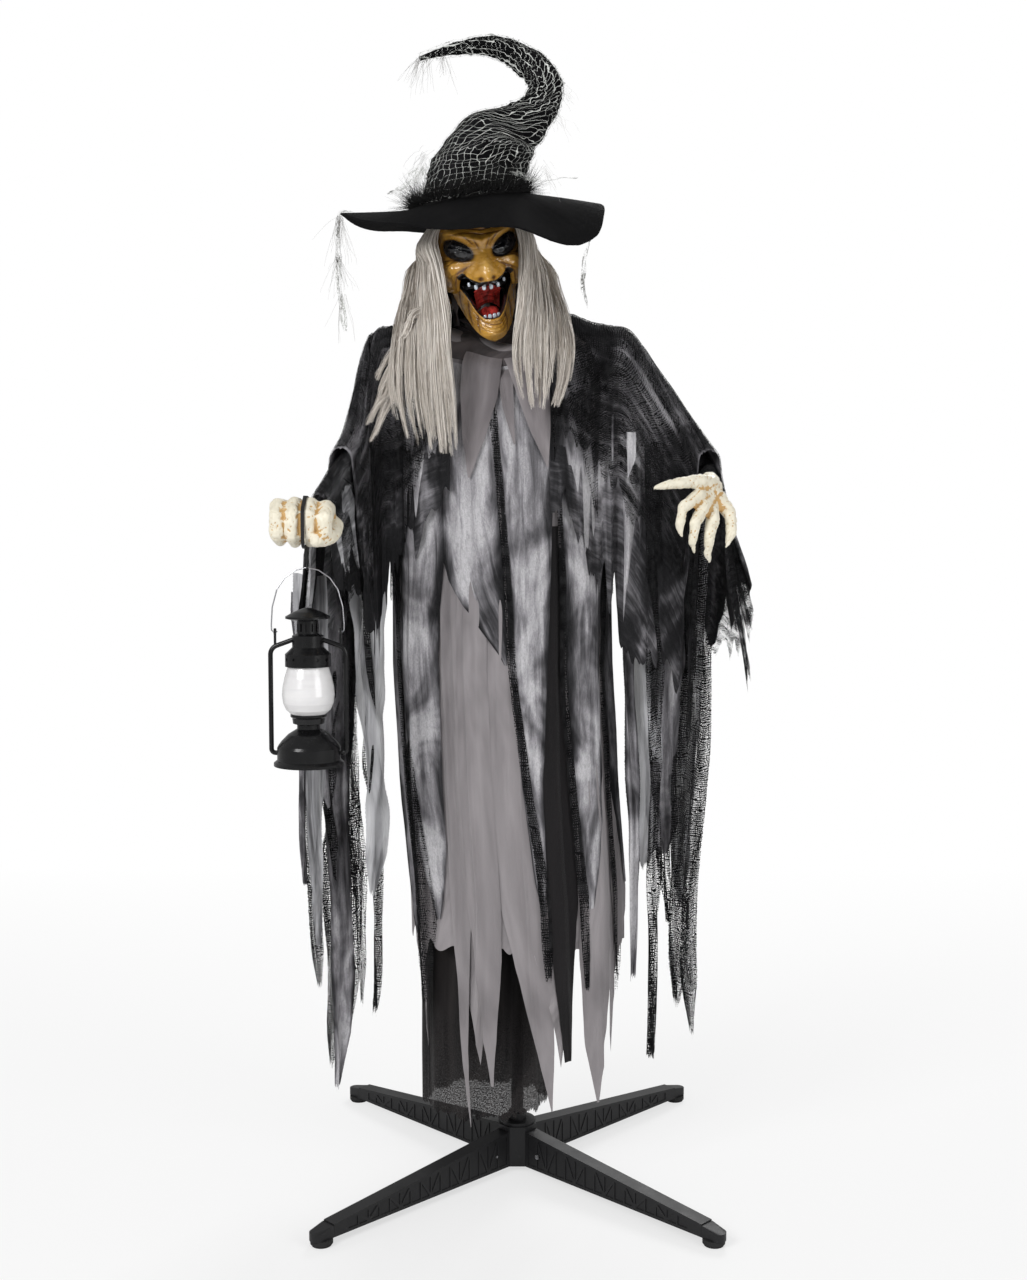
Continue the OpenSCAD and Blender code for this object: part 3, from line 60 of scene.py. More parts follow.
# %% Camera
camera_data = bpy.data.cameras.new("camera")
camera_data.lens = 44.97
camera_data.sensor_width = 36
camera_data.sensor_fit = "AUTO"
camera = bpy.data.objects.new("camera", camera_data)
VIEW_FROM, TILT_DOWN = (-0.006305, -2.58026, 1.08702), 0.0819147
camera.location = VIEW_FROM
camera.rotation_euler = (np.pi / 2 - TILT_DOWN, 0, 0)
bpy.context.scene.collection.objects.link(camera)
bpy.context.scene.camera = camera
bpy.context.scene.view_settings.view_transform = "Standard"
print("camera height", camera.location.z)

# %% [markdown]
# ## Small numpy tools
# Every soft shape below is a function of two parameters. These helpers ease,
# blend and look up whole arrays at once.


# %% Number helpers
def smooth(t):
    """3 t squared minus 2 t cubed, with t held between 0 and 1."""
    t = np.clip(t, 0, 1)
    return t * t * (3 - 2 * t)


def mix(a, b, t):
    """a plus t times the way from a to b."""
    return a + (b - a) * t


def bump(x, w):
    """A bell: e to the minus (x over w) squared."""
    return np.exp(-((x / w) ** 2))


def cosd(a):
    return np.cos(np.radians(a))


def sind(a):
    return np.sin(np.radians(a))


def table(x, rows, soft=0.0):
    """Straight lines between the rows, averaged over x - soft, x and x + soft."""
    r = np.array(rows, float)
    at = lambda v: np.interp(v, r[:, 0], r[:, 1])
    return at(x) if soft == 0 else (at(x - soft) + 2 * at(x) + at(x + soft)) / 4


dice = np.random.default_rng(11)
lattice = dice.random(8192)


def noise(x, y, z=0.0, seed=0):
    """Value noise: random numbers on whole-number corners, eased between them, -1 to 1."""
    x, y, z = np.broadcast_arrays(x * 1.0, y * 1.0, z * 1.0)
    i, j, k = (np.floor(v).astype(np.int64) for v in (x, y, z))
    fx, fy, fz = smooth(x - i), smooth(y - j), smooth(z - k)
    total = 0.0
    for a in (0, 1):
        for b in (0, 1):
            for c in (0, 1):
                h = ((i + a) * 73856093) ^ ((j + b) * 19349663) ^ ((k + c) * 83492791)
                w = (fx if a else 1 - fx) * (fy if b else 1 - fy) * (fz if c else 1 - fz)
                total = total + w * lattice[(h + seed * 977) & 8191]
    return 2 * total - 1


def curve_weights(rows, fine):
    """Weights that turn rows of points into fine rows on a smooth curve through them."""
    t = np.linspace(0, rows - 1, fine)
    i = np.minimum(t.astype(int), rows - 2)
    f = t - i
    w = np.zeros((fine, rows))
    parts = (
        (-1, (-f + 2 * f**2 - f**3) / 2),
        (0, (2 - 5 * f**2 + 3 * f**3) / 2),
        (1, (f + 4 * f**2 - 3 * f**3) / 2),
        (2, (-(f**2) + f**3) / 2),
    )
    for step, part in parts:
        np.add.at(w, (np.arange(fine), np.clip(i + step, 0, rows - 1)), part)
    return w


def along(keys, t, fine=200):
    """Rows at the shares t, 0 to 1, of the smooth curve through the rows of keys."""
    curve = curve_weights(len(keys), fine) @ keys
    return np.stack([np.interp(t * (fine - 1), np.arange(fine), part) for part in curve.T], -1)


def apart(q, centre=0):
    """Degrees from centre to q, the short way round: -180 to 180."""
    return (q - centre + 180) % 360 - 180


def unit(v):
    return v / np.maximum(np.linalg.norm(v, axis=-1, keepdims=True), 1e-9)


print("noise sample", round(float(noise(np.array(0.3), 0.7)), 3))

# %% [markdown]
# ## From grids to meshes
# A grid of points becomes four-sided faces. Two UV maps go with it: "cloth" is
# in metres along the surface, for weave and net, and "span" runs from 0 to 1
# across and along, for ragged edges and dye.


# %% Mesh helpers
def arc(points, axis):
    """Distance along the grid's lines, in metres, from their start."""
    step = np.linalg.norm(np.diff(points, axis=axis), axis=-1)
    pad = [(0, 0), (0, 0)]
    pad[axis] = (1, 0)
    return np.pad(np.cumsum(step, axis=axis), pad) / 1000


def surface(name, points, wrap=False, closed=False, flip=False, marks=None):
    """Four-sided faces between neighbours of a rows x columns grid, in millimetres.
    wrap joins the last column to the first, and closed the last row to the first."""
    grid = np.asarray(points, float)
    n, m = grid.shape[:2]
    order = np.arange(n * m).reshape(n, m)
    full = grid
    if wrap:
        order, full = np.c_[order, order[:, :1]], np.concatenate([full, full[:, :1]], 1)
    if closed:
        order, full = np.r_[order, order[:1]], np.concatenate([full, full[:1]], 0)
    corners = lambda g: np.stack([g[:-1, :-1], g[:-1, 1:], g[1:, 1:], g[1:, :-1]], 2)
    faces = corners(order).reshape(-1, 4)
    across, along = arc(full, 1), arc(full, 0)
    across = across - across[:, across.shape[1] // 2][:, None]
    rows, cols = full.shape[:2]
    span = np.stack(np.meshgrid(np.linspace(0, 1, cols), np.linspace(0, 1, rows)), -1)
    maps = {"cloth": corners(np.stack([across, along], -1)), "span": corners(span)}
    if flip:
        faces = faces[:, ::-1]
        maps = {k: v.reshape(-1, 4, 2)[:, ::-1] for k, v in maps.items()}
    mesh = bpy.data.meshes.new(name)
    mesh.from_pydata((grid.reshape(-1, 3) / 1000).tolist(), [], faces.tolist())
    for key, value in maps.items():
        layer = mesh.uv_layers.new(name=key)
        layer.data.foreach_set("uv", np.ascontiguousarray(value, float).ravel())
    for key, value in (marks or {}).items():
        layer = mesh.attributes.new(key, "FLOAT", "POINT")
        layer.data.foreach_set("value", np.asarray(value, float).ravel())
    mesh.shade_smooth()
    piece = bpy.data.objects.new(name, mesh)
    bpy.context.scene.collection.objects.link(piece)
    return piece


def shell(name, outer, inner, wrap=False, marks=None):
    """A closed wall: the outer grid, then the inner one back again."""
    both = np.concatenate([outer, inner[::-1]])
    twice = {k: np.concatenate([v, v[::-1]]) for k, v in (marks or {}).items()}
    if wrap:
        return surface(name, both, wrap=True, closed=True, marks=twice)
    piece = surface(name, both, closed=True, marks=twice)
    close_ends(piece)
    return piece


def close_ends(piece):
    """Fill the open slots at a wall's two side edges, strip by strip."""
    b = bmesh.new()
    b.from_mesh(piece.data)
    bmesh.ops.holes_fill(b, edges=[e for e in b.edges if e.is_boundary], sides=0)
    bmesh.ops.triangulate(b, faces=[f for f in b.faces if len(f.verts) > 4])
    bmesh.ops.recalc_face_normals(b, faces=b.faces)
    b.to_mesh(piece.data)
    b.free()


def ribbons(name, lines, width, facing, marks=None):
    """Narrow strips along many lines: strands x steps x 3, a width for each point, and
    the direction each strip's width runs in."""
    half = facing * (width[..., None] / 2)
    pair = np.stack([lines - half, lines + half], 2)
    s, k = lines.shape[:2]
    order = np.arange(s * k * 2).reshape(s, k, 2)
    faces = np.stack(
        [order[:, :-1, 0], order[:, :-1, 1], order[:, 1:, 1], order[:, 1:, 0]], -1
    ).reshape(-1, 4)
    mesh = bpy.data.meshes.new(name)
    mesh.from_pydata((pair.reshape(-1, 3) / 1000).tolist(), [], faces.tolist())
    t = np.broadcast_to(np.linspace(0, 1, k)[None, :, None], (s, k, 2))
    each = np.broadcast_to(dice.random(s)[:, None, None], (s, k, 2))
    for key, value in {"along": t, "strand": each, **(marks or {})}.items():
        layer = mesh.attributes.new(key, "FLOAT", "POINT")
        layer.data.foreach_set("value", np.ascontiguousarray(value, float).ravel())
    mesh.shade_smooth()
    piece = bpy.data.objects.new(name, mesh)
    bpy.context.scene.collection.objects.link(piece)
    return piece


def cut_size(points, wrap=False):
    """The flat cloth that a grid stands for: a wide row, a usual column and its area."""
    full = np.concatenate([points, points[:, :1]], 1) if wrap else points
    width = float(np.percentile(arc(full, 1)[:, -1], 85))
    length = float(np.percentile(arc(full, 0)[-1], 60))
    a, b = np.diff(full, axis=0)[:, :-1], np.diff(full, axis=1)[:-1]
    area = float(np.linalg.norm(np.cross(a, b), axis=-1).sum()) / 1e6
    return width, max(length, area / width), area


def hang(piece, points, wrap=False):
    """Print the size a cloth would be cut to."""
    width, length, area = cut_size(points, wrap)
    area = max(area, 0.31 * width * length)
    print(f"{piece.name}: cut {width * 1000:.0f} x {length * 1000:.0f} mm")


def wear(piece, finish):
    piece.data.materials.clear()
    piece.data.materials.append(finish)


def dress(piece, finish, body, node=None):
    """Finish a piece, let it ride, and hide the CAD node it stands for, if one is given."""
    wear(piece, finish)
    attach(piece, body)
    if node:
        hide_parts(node)


print("helpers ready")

# %% [markdown]
# ## Shader maths in plain expressions
# A wrapped socket adds Math nodes when it meets +, -, * or /. One method makes
# every other node: its kind, its settings, then the values of its sockets.


# %% Sockets and finishes
class Wire:
    """A socket of numbers that can be used in an expression."""

    def __init__(self, finish, socket):
        self.finish, self.socket = finish, socket

    def math(self, operation, *others):
        sockets = {0: self, **{k + 1: v for k, v in enumerate(others)}}
        return self.finish.node("ShaderNodeMath", {"operation": operation}, sockets)

    def __add__(self, other):
        return self.math("ADD", other)

    def __sub__(self, other):
        return self.math("SUBTRACT", other)

    def __mul__(self, other):
        return self.math("MULTIPLY", other)

    def __truediv__(self, other):
        return self.math("DIVIDE", other)

    def __radd__(self, other):
        return self.math("ADD", other)

    def __rmul__(self, other):
        return self.math("MULTIPLY", other)

    def __rsub__(self, other):
        return self.finish.node("ShaderNodeMath", {"operation": "SUBTRACT"}, {0: other, 1: self})

    def __rtruediv__(self, other):
        return self.finish.node("ShaderNodeMath", {"operation": "DIVIDE"}, {0: other, 1: self})

    def above(self, other):
        """1 where this is greater, else 0."""
        return self.math("GREATER_THAN", other)

    def threads(self, thick):
        """1 on threads that lie one unit apart: the distance to the next whole number."""
        return self.math("PINGPONG", 0.5).math("LESS_THAN", thick)

    def most(self, other):
        return self.math("MAXIMUM", other)

    def least(self, other):
        return self.math("MINIMUM", other)


class Finish:
    """A material: one Principled shader whose constants sit on its own sockets."""

    def __init__(self, name, **constants):
        self.material = bpy.data.materials.new(name)
        self.material.use_nodes = True
        self.tree = self.material.node_tree
        self.shader = self.tree.nodes["Principled BSDF"]
        for key, value in constants.items():
            self.shader.inputs[key.replace("_", " ")].default_value = value

    def node(self, kind, settings=None, sockets=None, out=0):
        made = self.tree.nodes.new(kind)
        for key, value in (settings or {}).items():
            if key == "stops":
                ramp = made.color_ramp.elements
                ramp.remove(ramp[-1])
                for k, (place, colour) in enumerate(value):
                    e = ramp[0] if k == 0 else ramp.new(place)
                    e.position, e.color = place, (*colour, 1)
            else:
                setattr(made, key, value)
        for key, value in (sockets or {}).items():
            if isinstance(value, Wire):
                self.tree.links.new(value.socket, made.inputs[key])
            else:
                made.inputs[key].default_value = value
        return Wire(self, made.outputs[out])

    def place(self):
        return self.node("ShaderNodeTexCoord", out=3)

    def map(self, name):
        return self.node("ShaderNodeUVMap", {"uv_map": name})

    def mark(self, name):
        return self.node("ShaderNodeAttribute", {"attribute_name": name}, out=2)

    def parts(self, vector):
        return [self.node("ShaderNodeSeparateXYZ", {}, {0: vector}, out=k) for k in range(3)]

    def stretch(self, vector, scale):
        return self.node("ShaderNodeMapping", {}, {"Vector": vector, "Scale": scale})

    def grain(self, vector, scale, detail=3.0, rough=0.55, twist=0.0):
        sockets = {"Vector": vector, "Scale": scale, "Detail": detail}
        sockets.update({"Roughness": rough, "Distortion": twist})
        return self.node("ShaderNodeTexNoise", {}, sockets)

    def ramp(self, value, stops, shape="LINEAR"):
        made = self.node("ShaderNodeValToRGB", {"stops": stops}, {0: value})
        made.socket.node.color_ramp.interpolation = shape
        return made

    def range(self, value, low, high, new_low=0.0, new_high=1.0):
        sockets = {0: value, 1: low, 2: high, 3: new_low, 4: new_high}
        return self.node("ShaderNodeMapRange", {"clamp": True}, sockets)

    def tint(self, factor, a, b, mode="MIX"):
        settings = {"data_type": "RGBA", "blend_type": mode}
        a = (*a, 1) if isinstance(a, tuple) else a
        b = (*b, 1) if isinstance(b, tuple) else b
        return self.node("ShaderNodeMix", settings, {0: factor, 6: a, 7: b}, out=2)

    def feed(self, **sockets):
        for key, value in sockets.items():
            self.tree.links.new(value.socket, self.shader.inputs[key.replace("_", " ")])
        return self.material

    def relief(self, height, strength, distance):
        sockets = {"Strength": strength, "Distance": distance, "Height": height}
        bumped = self.node("ShaderNodeBump", {}, sockets)
        self.tree.links.new(bumped.socket, self.shader.inputs["Normal"])
        return self


def srgb(r, g, b):
    """Screen colour, 0 to 255, to the linear value that a shader takes."""
    c = np.array([r, g, b]) / 255
    return tuple(float(x) for x in np.where(c < 0.04045, c / 12.92, ((c + 0.055) / 1.055) ** 2.4))


print("grey cloth, linear", srgb(128, 120, 122))

# %% [markdown]
# ## Stage
# A pale floor and three large soft lamps. The world is white where the camera
# or a glass looks at it, and a plain level of light everywhere else.


# %% World, floor and lamps
def white_world():
    world = bpy.data.worlds.new("studio")
    world.use_nodes = True
    tree = world.node_tree
    back = tree.nodes["Background"]
    ray = tree.nodes.new("ShaderNodeLightPath")
    seen = tree.nodes.new("ShaderNodeMath")
    seen.operation = "MAXIMUM"
    tree.links.new(ray.outputs["Is Camera Ray"], seen.inputs[0])
    tree.links.new(ray.outputs["Is Transmission Ray"], seen.inputs[1])
    level = tree.nodes.new("ShaderNodeMapRange")
    level.inputs["To Min"].default_value = 0.42
    level.inputs["To Max"].default_value = 1.0
    tree.links.new(seen.outputs[0], level.inputs[0])
    back.inputs["Color"].default_value = (1, 1, 1, 1)
    tree.links.new(level.outputs[0], back.inputs["Strength"])
    bpy.context.scene.world = world


def floor():
    finish = Finish("floor_white", Base_Color=(0.86, 0.86, 0.86, 1), Roughness=0.9)
    tree = finish.tree
    glow = tree.nodes.new("ShaderNodeEmission")
    glow.inputs["Color"].default_value = (1, 1, 1, 1)
    ray = tree.nodes.new("ShaderNodeLightPath")
    _, far, _ = finish.parts(finish.place())
    fade = finish.range(far, -0.3, 2.2, 0.6, 1.0)
    seen = Wire(finish, ray.outputs["Is Camera Ray"]) * fade
    both = tree.nodes.new("ShaderNodeMixShader")
    tree.links.new(seen.socket, both.inputs[0])
    tree.links.new(finish.shader.outputs[0], both.inputs[1])
    tree.links.new(glow.outputs[0], both.inputs[2])
    tree.links.new(both.outputs[0], tree.nodes["Material Output"].inputs[0])
    edge = np.linspace(-6000, 6000, 5)
    x, y = np.meshgrid(edge, edge)
    piece = surface("floor", np.stack([x, y, np.full_like(x, -0.6)], -1))
    wear(piece, finish.material)


def lamp(name, place, aim, size, power):
    """A square soft lamp at place, turned to face aim."""
    data = bpy.data.lights.new(name, "AREA")
    data.size, data.energy = size, power
    item = bpy.data.objects.new(name, data)
    item.location = place
    item.rotation_euler = (Vector(aim) - Vector(place)).to_track_quat("-Z", "Y").to_euler()
    bpy.context.scene.collection.objects.link(item)


white_world()
floor()
lamp("key_lamp", (-2.2, -2.8, 2.7), (0, 0, 1.1), 1.5, 88)
lamp("fill_lamp", (2.6, -2.3, 1.7), (0, 0, 1.0), 1.8, 40)
lamp("back_lamp", (0.9, 2.8, 2.9), (0, 0, 1.2), 1.4, 52)
print("lamps", len(bpy.data.lights))

# %% [markdown]
# ## Finishes of cloth
# The gown is cut from four cloths: a plain grey lining cloth, a crushed cloth
# dyed in black and grey blotches, a black gauze with open threads, and a pale
# chiffon. Weave and creases follow the "cloth" map, which is in metres; gauze
# and ragged ends are holes in Alpha.


# %% Cloth finishes
def creased(f, uv, fine=1.0):
    """Height of creases: long vertical wrinkles, crushed small ones, and the weave."""
    long_folds = f.grain(f.stretch(uv, (60, 6, 1)), 1.0, 3, 0.6, 0.6)
    crushed = f.grain(f.stretch(uv, (230 * fine, 60 * fine, 1)), 1.0, 4, 0.7, 1.2)
    weave = f.node(
        "ShaderNodeTexWave",
        {"wave_type": "BANDS", "bands_direction": "X"},
        {"Vector": uv, "Scale": 260.0, "Distortion": 2.0, "Detail": 2.0},
    )
    return long_folds * 1.0 + crushed * 0.45 + weave * 0.05


def frayed(f, side=0.05, low=0.03):
    """1 inside the cloth and 0 past its frayed sides and lower end."""
    across, along, _ = f.parts(f.map("span"))
    uv = f.map("cloth")
    torn = f.grain(f.stretch(uv, (70, 420, 1)), 1.0, 4, 0.7)
    torn_low = f.grain(f.stretch(uv, (420, 40, 1)), 1.0, 4, 0.7)
    from_side = across.least(1 - across)
    return from_side.above(torn * side) * (1 - along).above(torn_low * low)


def plain_cloth(name, colour, dark, rough=0.62):
    f = Finish(name, Sheen_Weight=0.08, Sheen_Roughness=0.5, Specular_IOR_Level=0.15)
    uv = f.map("cloth")
    broad = f.grain(f.stretch(uv, (14, 3, 1)), 1.0, 3, 0.6, 0.5)
    fine = f.grain(f.stretch(uv, (900, 900, 1)), 1.0, 2, 0.5)
    tone = f.tint(f.range(broad, 0.3, 0.68), dark, colour)
    tone = f.tint(fine * 0.2, tone, tuple(c * 0.6 for c in colour))
    f.relief(creased(f, uv), 0.5, 0.004)
    return f.feed(Base_Color=tone, Roughness=f.range(fine, 0, 1, rough - 0.08, rough + 0.1))


def dyed_cloth(name, light=(0.6, 0.59, 0.61), shift=0.02, alpha=False):
    """Crushed cloth with soft black and grey blotches drawn out down its length."""
    f = Finish(name, Sheen_Weight=0.03, Sheen_Roughness=0.6, Specular_IOR_Level=0.08)
    uv = f.map("cloth")
    spot = f.place()
    broad = f.grain(f.stretch(spot, (10, 10, 5.2)), 1.0, 3, 0.55, 1.0)
    streak = f.grain(f.stretch(uv, (75, 9, 1)), 1.0, 4, 0.65, 0.8)
    across, _, _ = f.parts(f.map("span"))
    # painted shade: the dyed cloth darkens towards its two side edges, where it meets its
    # neighbours
    edge = f.range(across.least(1 - across), 0.0, 0.2, -0.14, 0.0)
    value = broad * 0.72 + streak * 0.3 + edge + shift
    stops = [
        (0.34, (0.006, 0.006, 0.007)),
        (0.41, (0.028, 0.027, 0.03)),
        (0.47, (0.11, 0.107, 0.115)),
        (0.54, (0.28, 0.27, 0.29)),
        (0.62, light),
    ]
    tone = f.ramp(value, stops, "B_SPLINE")
    crush = f.grain(f.stretch(uv, (300, 120, 1)), 1.0, 4, 0.7, 1.5)
    speck = f.grain(f.stretch(uv, (900, 520, 1)), 1.0, 3, 0.7)
    tone = f.tint(f.range(crush, 0.42, 0.66, 0.0, 0.34), tone, (0.04, 0.04, 0.042))
    tone = f.tint(f.range(speck, 0.52, 0.7, 0.0, 0.3), tone, (0.07, 0.07, 0.073))
    f.relief(creased(f, uv, 1.2), 0.6, 0.005)
    if alpha:
        f.feed(Alpha=frayed(f, 0.1, 0.06))
    return f.feed(Base_Color=tone, Roughness=f.range(crush, 0, 1, 0.6, 0.85))


def gauze(name, colour=(0.004, 0.004, 0.0045), pitch=0.0028, open_=0.35,
    light=(0.022, 0.022, 0.023), side=0.09, thin=0.06):
    """Open threads both ways, pushed about by noise, bunched thick in places."""
    f = Finish(name, Roughness=0.85, Sheen_Weight=0.02, Specular_IOR_Level=0.05)
    uv = f.map("cloth")
    x, y, _ = f.parts(uv)
    push = f.grain(uv, 55.0, 3, 0.6, 0.4)
    slide = f.grain(f.stretch(uv, (30, 70, 1)), 1.0, 3, 0.6, 0.4)
    gx = (x + (push - 0.5) * 0.011) / pitch
    gy = (y + (slide - 0.5) * 0.014) / (pitch * 1.35)

    bunch = f.grain(f.stretch(uv, (45, 5, 1)), 1.0, 3, 0.6, 0.5)
    thick = f.range(bunch, 0.36, 0.66, thin, 0.5 - open_ * 0.35)
    net = gx.threads(thick).most(gy.threads(thick * 0.85))
    tone = f.tint(f.range(push, 0.4, 0.7), colour, light)
    f.relief(net, 0.3, 0.0008)
    return f.feed(Base_Color=tone, Alpha=net * frayed(f, side, side * 0.6))


def chiffon(name):
    """Pale thin cloth with grey streaks, a little see-through."""
    f = Finish(name, Sheen_Weight=0.1, Roughness=0.6, Specular_IOR_Level=0.25)
    uv = f.map("cloth")
    streak = f.grain(f.stretch(uv, (55, 5, 1)), 1.0, 4, 0.6, 0.6)
    blot = f.grain(f.stretch(f.place(), (9, 9, 4)), 1.0, 3, 0.55, 0.6)
    stops = [
        (0.38, (0.03, 0.03, 0.033)),
        (0.47, (0.2, 0.2, 0.21)),
        (0.54, (0.5, 0.5, 0.52)),
        (0.66, (0.66, 0.66, 0.68)),
    ]
    tone = f.ramp(streak * 0.45 + blot * 0.55, stops, "B_SPLINE")
    f.relief(creased(f, uv), 0.5, 0.004)
    solid = f.range(streak, 0.3, 0.6, 0.8, 0.97)
    return f.feed(Base_Color=tone, Alpha=solid * frayed(f, 0.08, 0.06))


def sheer_skirt():
    """Near-black fine net over a dark lining."""
    f = Finish("skirt_net", Sheen_Weight=0.05, Roughness=0.8, Specular_IOR_Level=0.08)
    uv = f.map("cloth")
    fine = f.grain(f.stretch(uv, (520, 420, 1)), 1.0, 2, 0.6)
    fold = f.grain(f.stretch(uv, (24, 3, 1)), 1.0, 3, 0.6, 0.4)
    mesh = f.range(fine, 0.4, 0.56)
    tone = f.tint(f.range(fold, 0.35, 0.65), (0.006, 0.0055, 0.006), (0.026, 0.023, 0.023))
    _, along, _ = f.parts(f.map("span"))
    clear = f.range(along, 0.7, 1.0, 1.0, 0.74)
    solid = mesh * (1 - clear) + clear
    f.relief(creased(f, uv), 0.4, 0.004)
    return f.feed(Base_Color=tone, Alpha=solid * frayed(f, 0.0, 0.03))


grey_cloth = plain_cloth("grey_cloth", srgb(160, 155, 157), srgb(106, 102, 104))
lapel_cloth = plain_cloth("lapel_cloth", srgb(162, 156, 158), srgb(88, 83, 85))
hood_cloth = plain_cloth("hood_cloth", srgb(104, 98, 99), srgb(34, 31, 32))
# painted shade: near-black cloth for the panel that fills the gap between two gores
gap_shade_cloth = plain_cloth("gap_shade_cloth", srgb(30, 27, 29), srgb(8, 7, 8))
dyed = dyed_cloth("dyed_cloth")
dyed_dark = dyed_cloth("dyed_dark", (0.4, 0.39, 0.41), -0.045)
dyed_mid = dyed_cloth("dyed_mid", (0.5, 0.49, 0.51), -0.005)
dyed_ribbon = dyed_cloth("dyed_ribbon", (0.64, 0.63, 0.65), 0.02, True)
black_gauze = gauze("black_gauze")
thick_gauze = gauze("thick_gauze", open_=0.0)
sleeve_gauze = gauze("sleeve_gauze", side=0.03)
cape_gauze = gauze("cape_gauze", open_=0.34, side=0.03)
veil_gauze = gauze("veil_gauze", open_=0.62)
web_gauze = gauze("web_gauze", pitch=0.0026, open_=0.0, side=0.14, thin=0.17)
pale_chiffon = chiffon("pale_chiffon")
skirt_net = sheer_skirt()
print("cloths", len(bpy.data.materials))

# %% [markdown]
# ## Finishes of the hard pieces
# The stand is satin black plastic with a fine grain, the tubes are painted, the
# lantern is sprayed tin, and the mask is glossy ochre vinyl with darker creases.
# Each finish varies in tone and gloss, and has its own bump.


# %% Hard finishes
def moulded(name, colour, rough=0.45, grain=900, worn=0.02, metal=0.0, coat=0.0, depth=0.0003):
    """Plastic or paint: fine grain, faint blotches, and scuffs that catch the light."""
    f = Finish(name, Metallic=metal, Coat_Weight=coat, Coat_Roughness=0.15, Specular_IOR_Level=0.28)
    spot = f.place()
    fine = f.grain(spot, grain, 2, 0.6)
    broad = f.grain(spot, 14.0, 3, 0.6, 0.3)
    scuff = f.grain(f.stretch(spot, (90, 90, 30)), 1.0, 5, 0.75, 2.0)
    light = tuple(min(1, c * 1.25 + worn) for c in colour)
    tone = f.tint(f.range(broad, 0.3, 0.7), colour, tuple(c * 0.8 + worn * 0.2 for c in colour))
    tone = f.tint(f.range(scuff, 0.62, 0.72), tone, light)
    f.relief(fine, 0.25, depth)
    gloss = f.range(broad, 0.3, 0.7, rough - 0.06, rough + 0.08)
    return f.feed(Base_Color=tone, Roughness=gloss + f.range(scuff, 0.6, 0.75, 0, 0.1))


stand_plastic = moulded("stand_plastic", (0.012, 0.012, 0.013), 0.42, 700, 0.015)
pad_rubber = moulded("pad_rubber", (0.02, 0.02, 0.02), 0.8, 400)
tube_paint = moulded("tube_paint", (0.018, 0.018, 0.02), 0.35, 500, 0.02, 0.0, 0.3)
case_plastic = moulded("case_plastic", (0.03, 0.03, 0.032), 0.55, 900, 0.02)
screw_steel = moulded("screw_steel", (0.55, 0.55, 0.57), 0.3, 1500, 0.05, 1.0)
motor_steel = moulded("motor_steel", (0.42, 0.42, 0.44), 0.35, 1200, 0.05, 1.0)
wire_steel = moulded("wire_steel", (0.45, 0.45, 0.47), 0.28, 1500, 0.05, 1.0)
switch_ivory = moulded("switch_ivory", (0.62, 0.6, 0.54), 0.5, 900)
speaker_paper = moulded("speaker_paper", (0.06, 0.06, 0.065), 0.8, 500)
board_green = moulded("board_green", (0.02, 0.17, 0.06), 0.35, 300, 0.02, 0.0, 0.4)
cell_wrap = moulded("cell_wrap", (0.42, 0.2, 0.05), 0.3, 400, 0.02, 0.0, 0.5)
lantern_paint = moulded("lantern_paint", (0.004, 0.004, 0.0045), 0.24, 420, 0.01, 0.0, 0.15)
tie_rubber = moulded("tie_rubber", (0.012, 0.012, 0.012), 0.5, 700)
skull_shade = moulded("skull_shade", (0.2, 0.11, 0.035), 0.5, 300)
light_cream = moulded("light_cream", (0.85, 0.78, 0.6), 0.4, 600)
foam_grey = moulded("foam_grey", (0.1, 0.1, 0.105), 0.95, 260, 0.02, 0.0, 0.0, 0.0015)
pivot_steel = moulded("pivot_steel", (0.5, 0.5, 0.52), 0.3, 1500, 0.05, 1.0)


def milk_globe():
    """Milky moulded globe: faint waves in its gloss, light passing through a little."""
    f = Finish(
        "globe_milk",
        Subsurface_Weight=0.2,
        Subsurface_Radius=(0.6, 0.6, 0.6),
        Subsurface_Scale=0.01,
        Coat_Weight=0.6,
        Coat_Roughness=0.08,
    )
    spot = f.place()
    wave = f.grain(f.stretch(spot, (20, 20, 60)), 1.0, 2, 0.5)
    tone = f.tint(f.range(wave, 0.35, 0.65), (0.8, 0.79, 0.79), (0.72, 0.71, 0.715))
    f.relief(wave, 0.1, 0.0006)
    return f.feed(Base_Color=tone, Roughness=f.range(wave, 0.3, 0.7, 0.16, 0.26))


def eye_gloss():
    f = Finish("eye_gloss", Coat_Weight=0.6, Coat_Roughness=0.04, Specular_IOR_Level=0.35)
    spot = f.place()
    lump = f.grain(spot, 160.0, 2, 0.5, 0.6)
    tone = f.tint(f.range(lump, 0.4, 0.7), (0.004, 0.004, 0.005), (0.02, 0.02, 0.022))
    f.relief(lump, 0.4, 0.0012)
    return f.feed(Base_Color=tone, Roughness=f.range(lump, 0.3, 0.7, 0.08, 0.18))


def vinyl():
    """Ochre vinyl: painted brown shade in the creases, hollows and sides, painted pale highlight on
    the raised places, black round the mouth.
    """
    f = Finish("mask_vinyl", Coat_Weight=0.9, Coat_Roughness=0.1, Specular_IOR_Level=0.5)
    spot = f.place()
    blot = f.grain(spot, 38.0, 4, 0.65, 0.6)
    pores = f.grain(spot, 520.0, 3, 0.6)
    crease = f.mark("crease")
    tone = f.tint(f.range(blot, 0.3, 0.7), srgb(186, 134, 46), srgb(206, 156, 66))
    # painted shade: where the crease mark is high, in wrinkles, hollows and towards the sides, the
    # ochre turns dark brown
    tone = f.tint(f.range(crease, 0.04, 0.75, 0.0, 0.92), tone, srgb(84, 46, 14))
    # painted highlight: where the crease mark is below zero, on the nose, cheeks and chin, the
    # ochre turns pale
    tone = f.tint(f.range(crease, -0.6, -0.1, 0.5, 0.0), tone, srgb(222, 182, 106))
    tone = f.tint(f.mark("lip"), tone, (0.008, 0.006, 0.006))
    f.relief(pores * 0.35 + blot, 0.35, 0.0012)
    return f.feed(Base_Color=tone, Roughness=f.range(blot, 0.3, 0.7, 0.24, 0.4))


